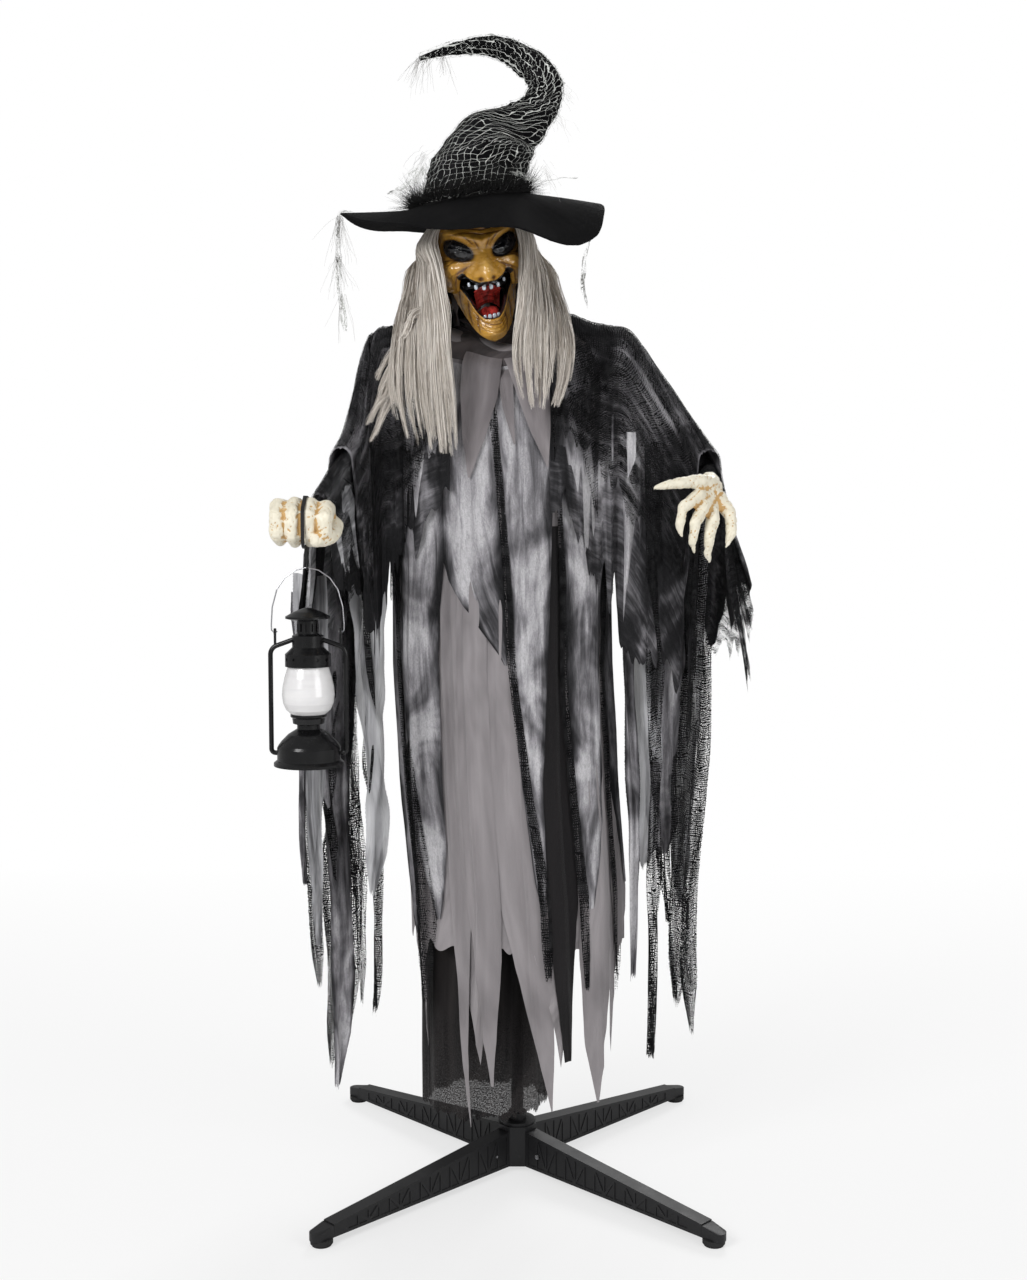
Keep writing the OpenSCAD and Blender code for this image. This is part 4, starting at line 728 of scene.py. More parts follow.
def bone_paint():
    """Ivory hands with an ochre wash left in every crease."""
    f = Finish("hand_bone", Coat_Weight=0.15, Coat_Roughness=0.3, Specular_IOR_Level=0.4)
    spot = f.place()
    blot = f.grain(spot, 45.0, 4, 0.65, 0.5)
    skin = f.grain(spot, 380.0, 4, 0.7)
    crease = f.mark("crease")
    tone = f.tint(f.range(blot, 0.3, 0.7), srgb(226, 218, 196), srgb(236, 230, 212))
    wash = f.range(crease, 0.06, 0.55, 0.0, 0.9)
    tone = f.tint(wash, tone, srgb(196, 152, 82))
    f.relief(skin * 0.5 + blot, 0.3, 0.0012)
    return f.feed(Base_Color=tone, Roughness=f.range(blot, 0.3, 0.7, 0.38, 0.55))


def strand_finish(name, dark, light, rough=0.5):
    """Hair or fur: each strand has its own tone, darker at its root."""
    f = Finish(name, Roughness=rough, Sheen_Weight=0.05,
        Specular_IOR_Level=0.3 if light[0] > 0.1 else 0.06)
    strand, along = f.mark("strand"), f.mark("along")
    tone = f.tint(strand, dark, light)
    tone = f.tint(f.range(along, 0.0, 0.2, 0.35, 0.0), tone, tuple(c * 0.45 for c in dark))
    fine = f.grain(f.stretch(f.place(), (900, 900, 120)), 1.0, 2, 0.5)
    f.relief(fine, 0.2, 0.0003)
    return f.feed(Base_Color=tone, Roughness=f.range(fine, 0.2, 0.8, rough - 0.1, rough + 0.12))


def felt():
    f = Finish("brim_felt", Sheen_Weight=0.01, Sheen_Roughness=0.5, Specular_IOR_Level=0.04)
    spot = f.place()
    fibre = f.grain(spot, 620.0, 4, 0.75, 1.5)
    broad = f.grain(spot, 22.0, 3, 0.6)
    tone = f.tint(f.range(fibre, 0.4, 0.75), (0.003, 0.003, 0.0033), (0.013, 0.013, 0.0135))
    tone = f.tint(f.range(broad, 0.5, 0.75, 0, 0.4), tone, (0.011, 0.0105, 0.011))
    f.relief(fibre, 0.6, 0.001)
    return f.feed(Base_Color=tone, Roughness=f.range(fibre, 0.3, 0.7, 0.8, 0.95))


def crown_cloth():
    f = Finish("crown_cloth", Sheen_Weight=0.01, Specular_IOR_Level=0.05)
    uv = f.map("cloth")
    crush = f.grain(f.stretch(uv, (60, 150, 1)), 1.0, 4, 0.7, 0.8)
    broad = f.grain(f.place(), 18.0, 3, 0.6, 0.4)
    tone = f.tint(f.range(broad, 0.45, 0.75), (0.003, 0.003, 0.0035), (0.016, 0.0155, 0.017))
    f.relief(crush, 0.6, 0.004)
    return f.feed(Base_Color=tone, Roughness=f.range(crush, 0.3, 0.7, 0.75, 0.95))


def crown_net(name="crown_net", pitch=0.0118, fill=0.0):
    """Off-white net: uneven square cells whose threads wander and cluster."""
    f = Finish(name, Roughness=0.85, Specular_IOR_Level=0.2)
    uv = f.map("cloth")
    x, y, _ = f.parts(uv)
    wander = f.grain(uv, 20.0, 2, 0.5, 0.3)
    slip = f.grain(f.stretch(uv, (17, 24, 1)), 1.0, 2, 0.5, 0.5)
    gx = (x + (wander - 0.5) * 0.032) / pitch
    gy = (y + (slip - 0.5) * 0.036) / (pitch * 0.8)

    body = f.grain(uv, 60.0, 3, 0.6)
    bunch = f.grain(f.stretch(uv, (26, 12, 1)), 1.0, 3, 0.6, 1.5)
    thick = f.range(body, 0.36, 0.68, 0.022, 0.055) + f.range(bunch, 0.54, 0.75, 0.0, 0.09)
    hole = bunch.math("LESS_THAN", 0.34)
    net = gx.threads(thick).most(gy.threads(thick * 0.8)) * (1 - hole)
    fluff = f.grain(f.stretch(uv, (110, 45, 1)), 1.0, 5, 0.8, 2.0)
    worn = fluff.above(0.72 - fill)
    tone = f.tint(f.range(body, 0.3, 0.7), srgb(150, 152, 148), srgb(214, 216, 212))
    return f.feed(Base_Color=tone, Alpha=net.most(worn))


def mouth_black():
    f = Finish("mouth_black", Coat_Weight=0.5, Coat_Roughness=0.15)
    wet = f.grain(f.place(), 120.0, 3, 0.6)
    tone = f.tint(f.range(wet, 0.4, 0.7), (0.006, 0.004, 0.004), (0.03, 0.012, 0.012))
    f.relief(wet, 0.4, 0.001)
    return f.feed(Base_Color=tone, Roughness=f.range(wet, 0.3, 0.7, 0.25, 0.45))


def enamel():
    f = Finish("tooth_enamel", Coat_Weight=0.8, Coat_Roughness=0.08)
    streak = f.grain(f.stretch(f.place(), (300, 300, 90)), 1.0, 3, 0.6)
    tone = f.tint(f.range(streak, 0.35, 0.7), srgb(206, 214, 222), srgb(168, 178, 190))
    f.relief(streak, 0.15, 0.0004)
    return f.feed(Base_Color=tone, Roughness=f.range(streak, 0.3, 0.7, 0.15, 0.28))


def tongue_red():
    f = Finish("tongue_red", Coat_Weight=0.7, Coat_Roughness=0.12)
    spot = f.place()
    buds = f.grain(spot, 420.0, 3, 0.6)
    broad = f.grain(f.stretch(spot, (160, 60, 60)), 1.0, 3, 0.6)
    tone = f.tint(f.range(broad, 0.38, 0.66), srgb(96, 16, 14), srgb(196, 60, 52))
    f.relief(buds * 0.4 + broad, 0.4, 0.001)
    return f.feed(Base_Color=tone, Roughness=f.range(buds, 0.3, 0.7, 0.25, 0.4))


globe_milk = milk_globe()
eye_black = eye_gloss()
mask_vinyl = vinyl()
hand_bone = bone_paint()
hair_grey = strand_finish("hair_grey", srgb(168, 158, 147), srgb(238, 232, 224), 0.5)
fur_black = strand_finish("fur_black", (0.004, 0.004, 0.004), (0.02, 0.02, 0.02), 0.7)
wisp_pale = strand_finish("wisp_pale", srgb(120, 118, 116), srgb(190, 188, 184), 0.8)
brim_felt = felt()
crown_black = crown_cloth()
net_pale = crown_net()
net_thick = crown_net("net_thick", 0.0045, 0.2)
mouth_dark = mouth_black()
tooth_white = enamel()
tongue_wet = tongue_red()
print("finishes", len(bpy.data.materials))

# %% Finishes on the CAD pieces
by_node = {
    stand_plastic: "base_hub leg_front_left leg_front_right leg_rear_left leg_rear_right foot_caps",
    pad_rubber: "foot_pads",
    screw_steel: "leg_screws",
    tube_paint: "pole_lower pole_middle pole_upper shoulder_bar neck_post "
    "lantern_arm_rod reaching_arm_rod",
    case_plastic: "control_box box_cover battery_door bar_end_caps head_hub",
    switch_ivory: "mode_switch",
    speaker_paper: "speaker",
    board_green: "circuit_board",
    cell_wrap: "batteries lantern_cells",
    motor_steel: "head_motor",
    pivot_steel: "jaw_pivots",
    skull_shade: "skull_back",
    mouth_dark: "mouth_lining",
    eye_black: "eye_left eye_right",
    tooth_white: "upper_teeth lower_teeth",
    tongue_wet: "tongue",
    tie_rubber: "lantern_tie",
    wire_steel: "bail",
    lantern_paint: "lantern_base lantern_cover lantern_chimney lantern_frame",
    globe_milk: "lantern_globe",
    light_cream: "lantern_light",
    foam_grey: "shoulder_pads",
    hood_cloth: "neck_cloth chest_points",
    grey_cloth: "gown",
    skirt_net: "underskirt",
    dyed: "dyed_panels lantern_sleeve",
    thick_gauze: "gauze_strips reaching_sleeve",
    mask_vinyl: "face_mask jaw",
    hair_grey: "hair_cap hair_left hair_right hair_back",
    brim_felt: "hat_brim",
    crown_black: "hat_crown",
    fur_black: "hat_trim",
    hand_bone: "fist claw_hand",
}
nodes = {o.name: o for o in bpy.data.objects if o.type == "MESH"}
for finish, names in by_node.items():
    for name in names.split():
        for place in nodes[name].material_slots:
            place.link = "OBJECT"
            place.material = finish
print("CAD pieces finished:", sum(len(v.split()) for v in by_node.values()))

# %% [markdown]
# ## The gown's surface
# All layers of the gown are one surface with different offsets, as in the CAD
# source: ellipses that widen over the shoulders and hang straight, with folds
# that deepen on the way down. The same folds run through every layer, with finer
# creases added, so that layers lie close and never cut each other.

# %% Gown surface
BODY_X = -27
GOWN_TOP, GOWN_FALL = 1335, 1239
GOWN_A = [[-0.012, 60], [-0.006, 95], [0.0024, 135], [0.02, 160], [0.06, 169]]
GOWN_A += [[0.3, 170], [0.7, 171], [1, 164]]
GOWN_B = [[-0.012, 50], [-0.006, 62], [0.0024, 76], [0.02, 90], [0.06, 104]]
GOWN_B += [[0.2, 112], [0.4, 120], [0.7, 130], [1, 132]]
GOWN_X = [[-0.012, -11], [0, -1], [0.4, 1], [0.55, 10], [0.7, 24], [1, 34]]
GOWN_RISE = [[-0.012, 22], [-0.006, 36], [0.0024, 50], [0.02, 46], [0.06, 26]]
GOWN_RISE += [[0.12, 8], [0.2, 0]]


def drop(u):
    """The height in millimetres of the gown's level u."""
    return GOWN_TOP - GOWN_FALL * u


def u_at(z):
    """The gown's level for a height in millimetres."""
    return (GOWN_TOP - z) / GOWN_FALL


def fine_folds(a, u):
    """Folds finer than the CAD's: ridges that wander, drawn out down the cloth."""
    grow = smooth((u - 0.03) / 0.3)
    lean = a + 5 * noise(a / 40, u * 3, seed=4)
    ridge = 1 - 2 * np.abs(noise(lean / 5.2, u * 1.7, seed=5))
    small = noise(lean / 2.3, u * 7, seed=6)
    return grow * (2.6 * ridge + 1.0 * small)


def gown_at(a, u, off):
    """The CAD gown point for angle a in degrees and level u, off millimetres outside."""
    side = np.abs(cosd(a)) ** 1.5
    w = mix(1, smooth((u + 0.004) / 0.1), 0.4 + 0.6 * side)
    fold = 7 * smooth((u - 0.01) / 0.5) * (cosd(10 * a) + 0.45 * cosd(5 * a + 40) - 0.6)
    f = fold + fine_folds(a, u) * w + off * w
    up = off * np.sqrt(np.clip(1 - w * w, 0, 1))
    back = np.where(sind(a) > 0, 18 * sind(a) * (1 - smooth(u / 0.08)), 0)
    x = BODY_X + table(u, GOWN_X) + (table(u, GOWN_A, 0.004) + f) * cosd(a)
    y = (table(u, GOWN_B, 0.004) + f) * sind(a)
    z = drop(u) + table(u, GOWN_RISE, 0.004) * side + up + back
    return np.stack([x, y, z], -1)


def panel(name, rows, lift, finish, n=120, m=36, tail=0.0, seed=0):
    """A hanging panel. rows give height z, then its left and right edge as angles."""
    r = np.array(rows, float)
    t = np.linspace(0, 1, n)
    z = mix(r[0, 0], r[-1, 0], t)
    left, right = (np.interp(-z, -r[:, 0], r[:, k]) for k in (1, 2))
    s = np.linspace(0, 1, m)[None, :]
    rag = 1 + 0.02 * noise(z / 23, 0.5, seed=seed)
    a = mix(left[:, None] * np.ones_like(s), right[:, None], s)
    a = a + (rag[:, None] - 1) * 40 * (0.5 - s) * np.abs(s - 0.5)
    u = u_at(z)[:, None] + 0 * s
    own = 1.1 * noise(a / 3.1, u * 9, seed=seed + 20) * smooth((u - 0.05) / 0.2)
    free = smooth((u - 0.62) / 0.4)
    stand = lift * smooth((t[:, None]) * 6) + 0.6 + own + free * 3 * noise(a / 9, u * 5,
        seed=seed + 3)
    points = gown_at(a, u, stand)
    sway = free * tail
    points[..., 0] += sway * noise(u * 3.5, 0.3, seed=seed + 9) * 9
    points[..., 1] += sway * noise(u * 3.5, 0.8, seed=seed + 10) * 7
    piece = surface(name, points, flip=True)
    dress(piece, finish, "torso")
    hang(piece, points)
    return piece


# %% Gown
def gown_body():
    """The lining gown all round: its hem falls in eight long points."""
    n, m = 176, 336
    a = np.linspace(0, 360, m, endpoint=False)[None, :]
    wave = (a / 45) % 1
    point = np.clip(1 - np.abs(wave - 0.5) * 3.1, 0, 1) ** 1.2
    hem = 0.755 + 0.15 * point + 0.012 * noise(a / 7, 0.2, seed=31)
    t = np.linspace(0, 1, n)[:, None]
    u = mix(-0.012, hem, t**1.15)
    points = gown_at(a, u, 0.0)
    piece = surface("gown_body", points, wrap=True, flip=True)
    dress(piece, grey_cloth, "torso", "gown")
    hang(piece, points, wrap=True)
    return piece


gown_body()

# %% [markdown]
# ## Hanging panels
# Over the gown hang pointed panels: crushed black and grey cloth from the chest
# down, plain grey gores with long tails under it, and ropes of bunched gauze
# between them. Each is cut by two edges that run down the gown at their own
# angles (front is 270), so a tail is simply where the edges meet.

# %% Plain gores and the dark gap
gores = [
    panel("gore_a", [[1080, 236, 252], [475, 231, 246], [379, 233, 244], [234, 236, 240.5],
        [104, 238.6, 239.2]], 0.8, grey_cloth, seed=1, tail=1),
    panel("gore_b", [[1080, 248, 263], [475, 243, 262], [379, 247, 262], [250, 252.5, 259],
        [182, 256, 257]], 1.6, grey_cloth, seed=2, tail=1),
    panel("gore_c", [[1080, 260, 276], [665, 260, 281], [475, 261, 286], [379, 268, 287.5],
        [234, 279, 288], [140, 285.6, 286.4]], 1.1, grey_cloth, seed=3, tail=1),
    # painted shade: a near-black panel in the gap between the gores
    panel("dark_gap", [[1060, 284, 308], [475, 285, 309], [330, 290, 304], [215, 295, 300]], 0.9,
        gap_shade_cloth, seed=4, tail=1),
    panel("gore_d", [[1100, 318, 350], [861, 314, 360], [665, 311, 363], [475, 309, 352],
        [379, 310, 336], [234, 313, 326], [140, 319, 320.5]], 1.2, grey_cloth, seed=5, tail=1),
    panel("gore_e", [[1080, 350, 372], [665, 346, 372], [475, 340, 362], [380, 346, 352]], 2.0,
        grey_cloth, seed=6, tail=1),
    panel("gore_f", [[1080, 60, 100], [500, 62, 96], [300, 74, 82], [190, 77, 78]], 1.2, grey_cloth,
        seed=7, tail=1),
    panel("gore_g", [[1080, 140, 166], [500, 140, 165], [330, 150, 156], [250, 152, 153]], 1.2,
        grey_cloth, seed=8, tail=1),
    panel("gore_h", [[1080, 20, 44], [500, 21, 42], [330, 27, 34], [260, 30, 31]], 1.2, grey_cloth,
        seed=9, tail=1),
]
print("gores", len(gores))

# %% Dyed panels
dyed_rows = {
    "dyed_side": [[1290, 178, 209], [1008, 178, 207], [665, 181, 205], [475, 187, 201],
        [400, 193, 196]],
    "dyed_left": [[1300, 206, 240], [1008, 205, 238], [861, 206, 233], [760, 209, 232],
        [554, 214, 231], [475, 221, 228], [440, 224, 226]],
    "dyed_chest": [[1300, 234, 266], [1080, 235, 269], [1008, 237, 271.5], [977, 241, 272],
        [861, 269, 273.4], [845, 272, 273.2]],
    "dyed_front": [[1306, 264, 298], [1134, 269, 299], [1008, 272.5, 297], [861, 274.5, 295],
        [791, 276, 292.5], [665, 278, 288.5], [507, 281, 286.5], [455, 283.5, 285]],
    "dyed_right": [[1306, 297, 344], [1134, 301, 346], [977, 306, 345], [861, 309, 341],
        [665, 311, 333], [507, 312, 321], [455, 314, 317]],
    "dyed_far": [[1290, 342, 372], [1008, 342, 371], [791, 344, 368], [600, 349, 364],
        [480, 355, 359]],
    "dyed_back_a": [[1300, 10, 44], [860, 10, 43], [600, 13, 38], [470, 22, 29]],
    "dyed_back_b": [[1300, 42, 76], [900, 43, 75], [520, 48, 70], [400, 57, 62]],
    "dyed_back_c": [[1300, 96, 138], [860, 97, 137], [560, 103, 130], [440, 115, 119]],
    "dyed_back_d": [[1290, 136, 180], [900, 139, 179], [560, 148, 173], [390, 160, 164]],
}
for k, (name, rows) in enumerate(dyed_rows.items()):
    lift = 3.2 if k % 2 else 2.4
    made = panel(name, rows, lift, dyed_dark if name in ("dyed_side", "dyed_far") else dyed, 140,
        50, 0.6, 40 + k)
    if name == "dyed_left":
        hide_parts("dyed_panels")
print("dyed panels", len(dyed_rows))

# %% Gauze ropes and shoulder gauze
gauze_rows = {
    "rope_centre": [[1300, 262, 267], [1134, 267.5, 271.5], [1008, 270.5, 275], [791, 274.5, 279],
        [507, 282, 287.5], [400, 283, 289], [330, 285.5, 287]],
    "rope_right": [[1250, 296, 300], [977, 302.5, 307.5], [665, 306, 311.5], [475, 308, 314],
        [380, 309, 314], [300, 311, 312]],
    "rope_left": [[1300, 196, 205], [861, 191, 201], [620, 193, 204], [430, 196, 208],
        [260, 201, 206]],
    "gauze_left": [[760, 200, 214], [560, 198, 222], [440, 199, 226], [360, 206, 222],
        [290, 211, 214]],
    "rope_far": [[1250, 342, 349], [861, 340, 346], [500, 340, 347], [300, 343, 345]],
    "rope_back_a": [[1300, 76, 84], [800, 77, 83], [300, 78, 84], [200, 80, 82]],
    "rope_back_b": [[1300, 136, 143], [800, 136, 142], [320, 137, 142], [240, 139, 140]],
    "rope_back_c": [[1300, 10, 16], [800, 9, 15], [340, 8, 13], [260, 10, 11]],
}
for k, (name, rows) in enumerate(gauze_rows.items()):
    finish = black_gauze if name == "gauze_left" else thick_gauze
    made = panel(name, rows, 5.4, finish, 170, 22, 1.6, 70 + k)
    if name == "rope_centre":
        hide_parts("gauze_strips")

veils = {
    "veil_left": [[1333, 146, 236], [1250, 148, 236], [1180, 152, 232], [1100, 160, 222],
        [1010, 172, 212], [930, 183, 196]],
    "veil_right": [[1333, 302, 394], [1260, 303, 392], [1180, 312, 388], [1100, 322, 380],
        [1020, 334, 372], [940, 346, 360]],
    "veil_back": [[1330, 40, 140], [1240, 42, 138], [1140, 52, 128], [1040, 66, 116],
        [960, 82, 98]],
}
for k, (name, rows) in enumerate(veils.items()):
    panel(name, rows, 6.6, veil_gauze, 100, 90, 0.5, 90 + k)

# %% [markdown]
# ## Bib and neck cloth
# Plain grey lapels hang from the neckline in points over the chest. Round the
# neck a darker cloth is wound and twisted; it is a wall of rings that climb from
# the gown to the chin, with diagonal folds.

# %% Bib
bib_rows = {
    "lapel_left": [[1322, 250, 272], [1253, 250, 269], [1190, 251.5, 262], [1134, 254, 255]],
    "lapel_right": [[1322, 272, 296], [1253, 279, 296], [1200, 286, 296], [1150, 294, 295]],
    "lapel_small": [[1300, 268, 277], [1240, 271.5, 277], [1185, 277, 278]],
}
for k, (name, rows) in enumerate(bib_rows.items()):
    made = panel(name, rows, [8.2, 7.4, 6.2][k], lapel_cloth, 90, 40, 0.0, 110 + k)
    if k == 0:
        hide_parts("chest_points")


def neck_wrap():
    """Rings from the gown's neckline up to the chin. The radius has slanted ridges:
    the sine of five times the angle plus the height, and noise that follows them."""
    n, m = 52, 160
    t = np.linspace(0, 1, n)[:, None]
    a = np.linspace(0, 360, m, endpoint=False)[None, :]
    low = np.clip(t / 0.35, 0, 1)
    high = np.clip((t - 0.35) / 0.65, 0, 1)
    u = mix(0.024, -0.012, low)
    base = gown_at(a, u, 1.6)
    twist = a / 57.3 * 3 + t * 9
    ridge = 1 - 2 * np.abs(np.sin(twist + 0.9 * noise(a / 40, t * 4, seed=3)))
    fold = 3.4 * ridge * smooth(t * 3) + 1.6 * noise(a / 14 + t * 5, t * 7, seed=8)
    r = mix(50, 40, high) + fold * 1.6
    top = base.copy()
    e = smooth(high * 1.5)
    top[..., 0] = mix(base[..., 0], -54 + r * cosd(a), e)
    top[..., 1] = mix(base[..., 1], -5 * high + r * sind(a), e)
    top[..., 2] = mix(base[..., 2] + fold * 0.9 * (1 - high), 1392 + 6 * cosd(a), high)
    centre = np.array([-50, -3, 0])
    away = top - centre
    away[..., 2] = 0
    inner = top - unit(away) * 2.0 - [0, 0, 0.4]
    piece = shell("neck_wrap", top, inner, wrap=True)
    dress(piece, hood_cloth, "torso", "neck_cloth")
    hang(piece, top, wrap=True)


neck_wrap()


def hood_rise():
    """The hood's back rises from the neck to behind the ears: part of a ring, open in
    front, whose radius has the wrap's slanted ridges."""
    n, m = 50, 130
    t = np.linspace(0, 1, n)[:, None]
    a = np.linspace(-38, 218, m)[None, :]
    ridge = 1 - 2 * np.abs(np.sin(a / 57.3 * 3.2 + t * 6 + 0.9 * noise(a / 30, t * 3, seed=13)))
    r = mix(49, 57, smooth(t * 1.2)) + 3.2 * ridge * smooth(t * 4) + 2 * noise(a / 12, t * 8,
        seed=18)
    x = mix(-54.0, -53.0, t) + r * cosd(a)
    y = mix(-4.0, 4.0, t) + r * sind(a)
    points = np.stack([x, y, mix(1374.0, 1496.0, t) + 0 * a], -1)
    inner = points - unit((points - [-54, 10, 0]) * [1, 1, 0]) * 1.6
    piece = shell("hood_rise", points, inner)
    wear(piece, hood_cloth)
    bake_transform(piece)
    hang(piece, points)


hood_rise()


# %% [markdown]
# ## Underskirt
# A near-black fine net skirt shows below the gown, narrow at its foot, a little
# see-through towards its hem, with the pole inside it.


# %% Underskirt
def underskirt():
    n, m = 100, 200
    u = np.linspace(0.37, 1.0, n)[:, None]
    a = np.linspace(0, 360, m, endpoint=False)[None, :]
    s = smooth((u - 0.36) / 0.4)
    g = gown_at(a, u, -4.2)
    w = 4 * cosd(10 * a) + 2.6 * (1 - 2 * np.abs(noise(a / 8 + u, u * 2, seed=12)))
    rag = 9 * noise(a / 4, 0.4, seed=13) * smooth((u - 0.9) / 0.1)
    x = mix(g[..., 0], BODY_X - 26 + (98 + w) * cosd(a), s)
    y = mix(g[..., 1], (84 + w) * sind(a), s)
    points = np.stack([x, y, drop(u) + rag + 4 * s], -1)
    piece = surface("skirt", points, wrap=True, flip=True)
    dress(piece, skirt_net, "torso", "underskirt")
    hang(piece, points, wrap=True)


underskirt()

# %% [markdown]
# ## Shoulder pads
# Foam pads sit on the bar inside the gown's shoulders. They are hidden by cloth
# but are still real pads: crowned on top and pulled in at their edges.


# %% Shoulder pads
def shoulder_pad(name, middle):
    """Two sheets, 6 to 20 mm apart, that meet at the rim: the gap is the sine of the
    way across times the sine of the way along."""
    a = middle + np.linspace(-26, 26, 40)[None, :]
    u = np.linspace(0.004, 0.055, 26)[:, None] + 0 * a
    s = np.linspace(0, 1, 26)[:, None]
    t = np.linspace(0, 1, 40)[None, :]
    puff = np.sqrt(np.clip(np.sin(np.pi * s) * np.sin(np.pi * t), 0, 1))
    top = gown_at(a + 0 * u, u, -5.5 - 6 * (1 - puff))
    low = gown_at(a + 0 * u, u, -12.5 - 8 * puff)
    low[[0, -1]], low[:, [0, -1]] = top[[0, -1]], top[:, [0, -1]]
    a_side = surface(name, top)
    b_side = surface(name + "_low", low, flip=True)
    b = bmesh.new()
    b.from_mesh(a_side.data)
    b.from_mesh(b_side.data)
    bmesh.ops.remove_doubles(b, verts=b.verts, dist=1e-5)
    bmesh.ops.recalc_face_normals(b, faces=b.faces)
    b.to_mesh(a_side.data)
    b.free()
    bpy.data.objects.remove(b_side)
    dress(a_side, foam_grey, "torso")
    return a_side


pads = [shoulder_pad("pad_left", 180), shoulder_pad("pad_right", 0)]
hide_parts("shoulder_pads")

# %% [markdown]
# ## Sleeves
# A sleeve is a cloth thrown over the arm: at each station along the arm it bends
# over the rod as a half circle and hangs from there in two panels, an inner one
# by the body and an outer one. Between stations everything runs on a smooth
# curve. The black gauze lies outermost, the dyed cloth and pale chiffon hang
# under it in long ragged strips.

# %% Sleeve surface
HUB_OVER = 15.6
STATIONS_L = [
    [[-216, 0, 1345], 180, HUB_OVER, [20, 1], [120, 6]],
    [[-235, 0, 1345], 180, HUB_OVER, [24, 2], [150, 10]],
    [[-242, -14, 1318], 205, 20, [180, 10], [190, 16]],
    [[-250, -36, 1250], 220, 19, [200, 14], [230, 22]],
    [[-258, -52, 1177], 232, 17, [210, 16], [270, 30]],
    [[-282, -113, 1134], 247, 12, [190, 18], [250, 30]],
    [[-301, -163, 1097], 250, 10, [140, 14], [200, 22]],
]
STATIONS_R = [
    [[162, 0, 1345], 0, HUB_OVER, [120, 6], [120, 6]],
    [[181, 0, 1345], 0, HUB_OVER, [160, 8], [160, 10]],
    [[196, -6, 1324], -8, 16, [190, 10], [200, 14]],
    [[247, -20, 1244], -20, 15, [280, 16], [270, 22]],
    [[300, -34, 1152], -50, 12, [370, 20], [300, 44]],
    [[296, -84, 1139], -84, 9, [400, 18], [292, 61]],
    [[294, -111, 1132], -86, 8, [330, 12], [230, 34]],
]


def sleeve_points(stations, side, n, m, lift=0.0, depth=(1, 1), first=0.0, last=1.0, seed=0,
    rag=0.0):
    """Stations on a smooth curve; across, the angle runs over the arm to 90 degrees and
    then straight down. Folds are ridges of noise that grow down the panels."""
    rows = np.array([[*s[0], s[1], s[2], *s[3], *s[4]] for s in stations], float)
    t = np.linspace(first, last, n)
    x, y, z, toward, r, fall_in, flare_in, fall_out, flare_out = along(rows, t).T[..., None]
    t = t[:, None]
    c = np.linspace(-1, 1, m)[None, :]
    over = np.clip(np.abs(c) * 2, 0, 1) * 90 * np.sign(c)
    down = np.clip(np.abs(c) * 2 - 1, 0, 1)
    inner = c < 0
    ragged = 1 + rag * (noise(t * 23 + seed, c * 0 + 2.5, seed=seed) + 0.6 * noise(t * 61, 1.5,
        seed=seed + 1))
    fall = np.where(inner, fall_in * depth[0], fall_out * depth[1]) * ragged
    flare = np.where(inner, flare_in, flare_out)
    grow = smooth(down * 2.4)
    fold = 1 - 2 * np.abs(noise(t * 15 + 2.3 * seed, down * 1.6, seed=seed + 4))
    fold = fold * 4.6 + 1.6 * noise(t * 44, down * 4, seed=seed + 5)
    heading = toward + side * 90
    across = (r + lift + grow * fold + flare * down) * sind(over)
    x = x + across * cosd(heading)
    y = y + across * sind(heading)
    z = z + (r + lift) * cosd(over) - fall * down
    crush = 1.4 * noise(t * 30, c * 20, seed=seed + 6) * (1 - down)
    return np.stack([x, y, z + crush], -1)


def sleeve(name, stations, side, body, finish, lift, depth, n=104, m=116, seed=0, rag=0.1,
    first=0.0, last=1.0):
    points = sleeve_points(stations, side, n, m, lift, depth, first, last, seed, rag)
    piece = surface(name, points, flip=side < 0)
    dress(piece, finish, body)
    hang(piece, points)
    return piece


def strand_of_cloth(name, top, width, length, body, finish, turn=0.0, sway=14, seed=0, narrow=0.55,
    gather=0.0):
    """A ragged ribbon: its middle line sways by noise and its width turns slowly round
    the vertical, narrowing to a point. gather folds it into a rope."""
    n, m = 150, 17
    t = np.linspace(0, 1, n)[:, None]
    c = np.linspace(-0.5, 0.5, m)[None, :]
    w = width * (1 - narrow * t) * (1 - smooth((t - 0.86) / 0.14) * 0.9)
    w = w * (1 + 0.22 * noise(t * 13, 0.5, seed=seed))
    grip = 1 - gather * (0.6 + 0.4 * noise(t * 6, 0.2, seed=seed + 5))
    g = turn + 70 * noise(t * 2.2, 0.1, seed=seed + 1) * t
    fold = (4.5 + 4 * gather) * np.sin(c * 9 + 5 * noise(t * 5, 0.3, seed=seed + 2)) * smooth(t * 4)
    across = c * w * grip
    x = top[0] + across * cosd(g) - fold * sind(g) + sway * noise(t * 2.6, 0.7,
        seed=seed + 3) * smooth(t * 3)
    y = top[1] + across * sind(g) + fold * cosd(g) + sway * noise(t * 2.3, 0.9,
        seed=seed + 4) * smooth(t * 3)
    z = top[2] - length * t + 4 * noise(t * 20, c * 3, seed=seed + 6)
    points = np.stack(np.broadcast_arrays(x, y, z), -1)
    piece = surface(name, points, flip=True)
    dress(piece, finish, body)
    hang(piece, points)
    return piece


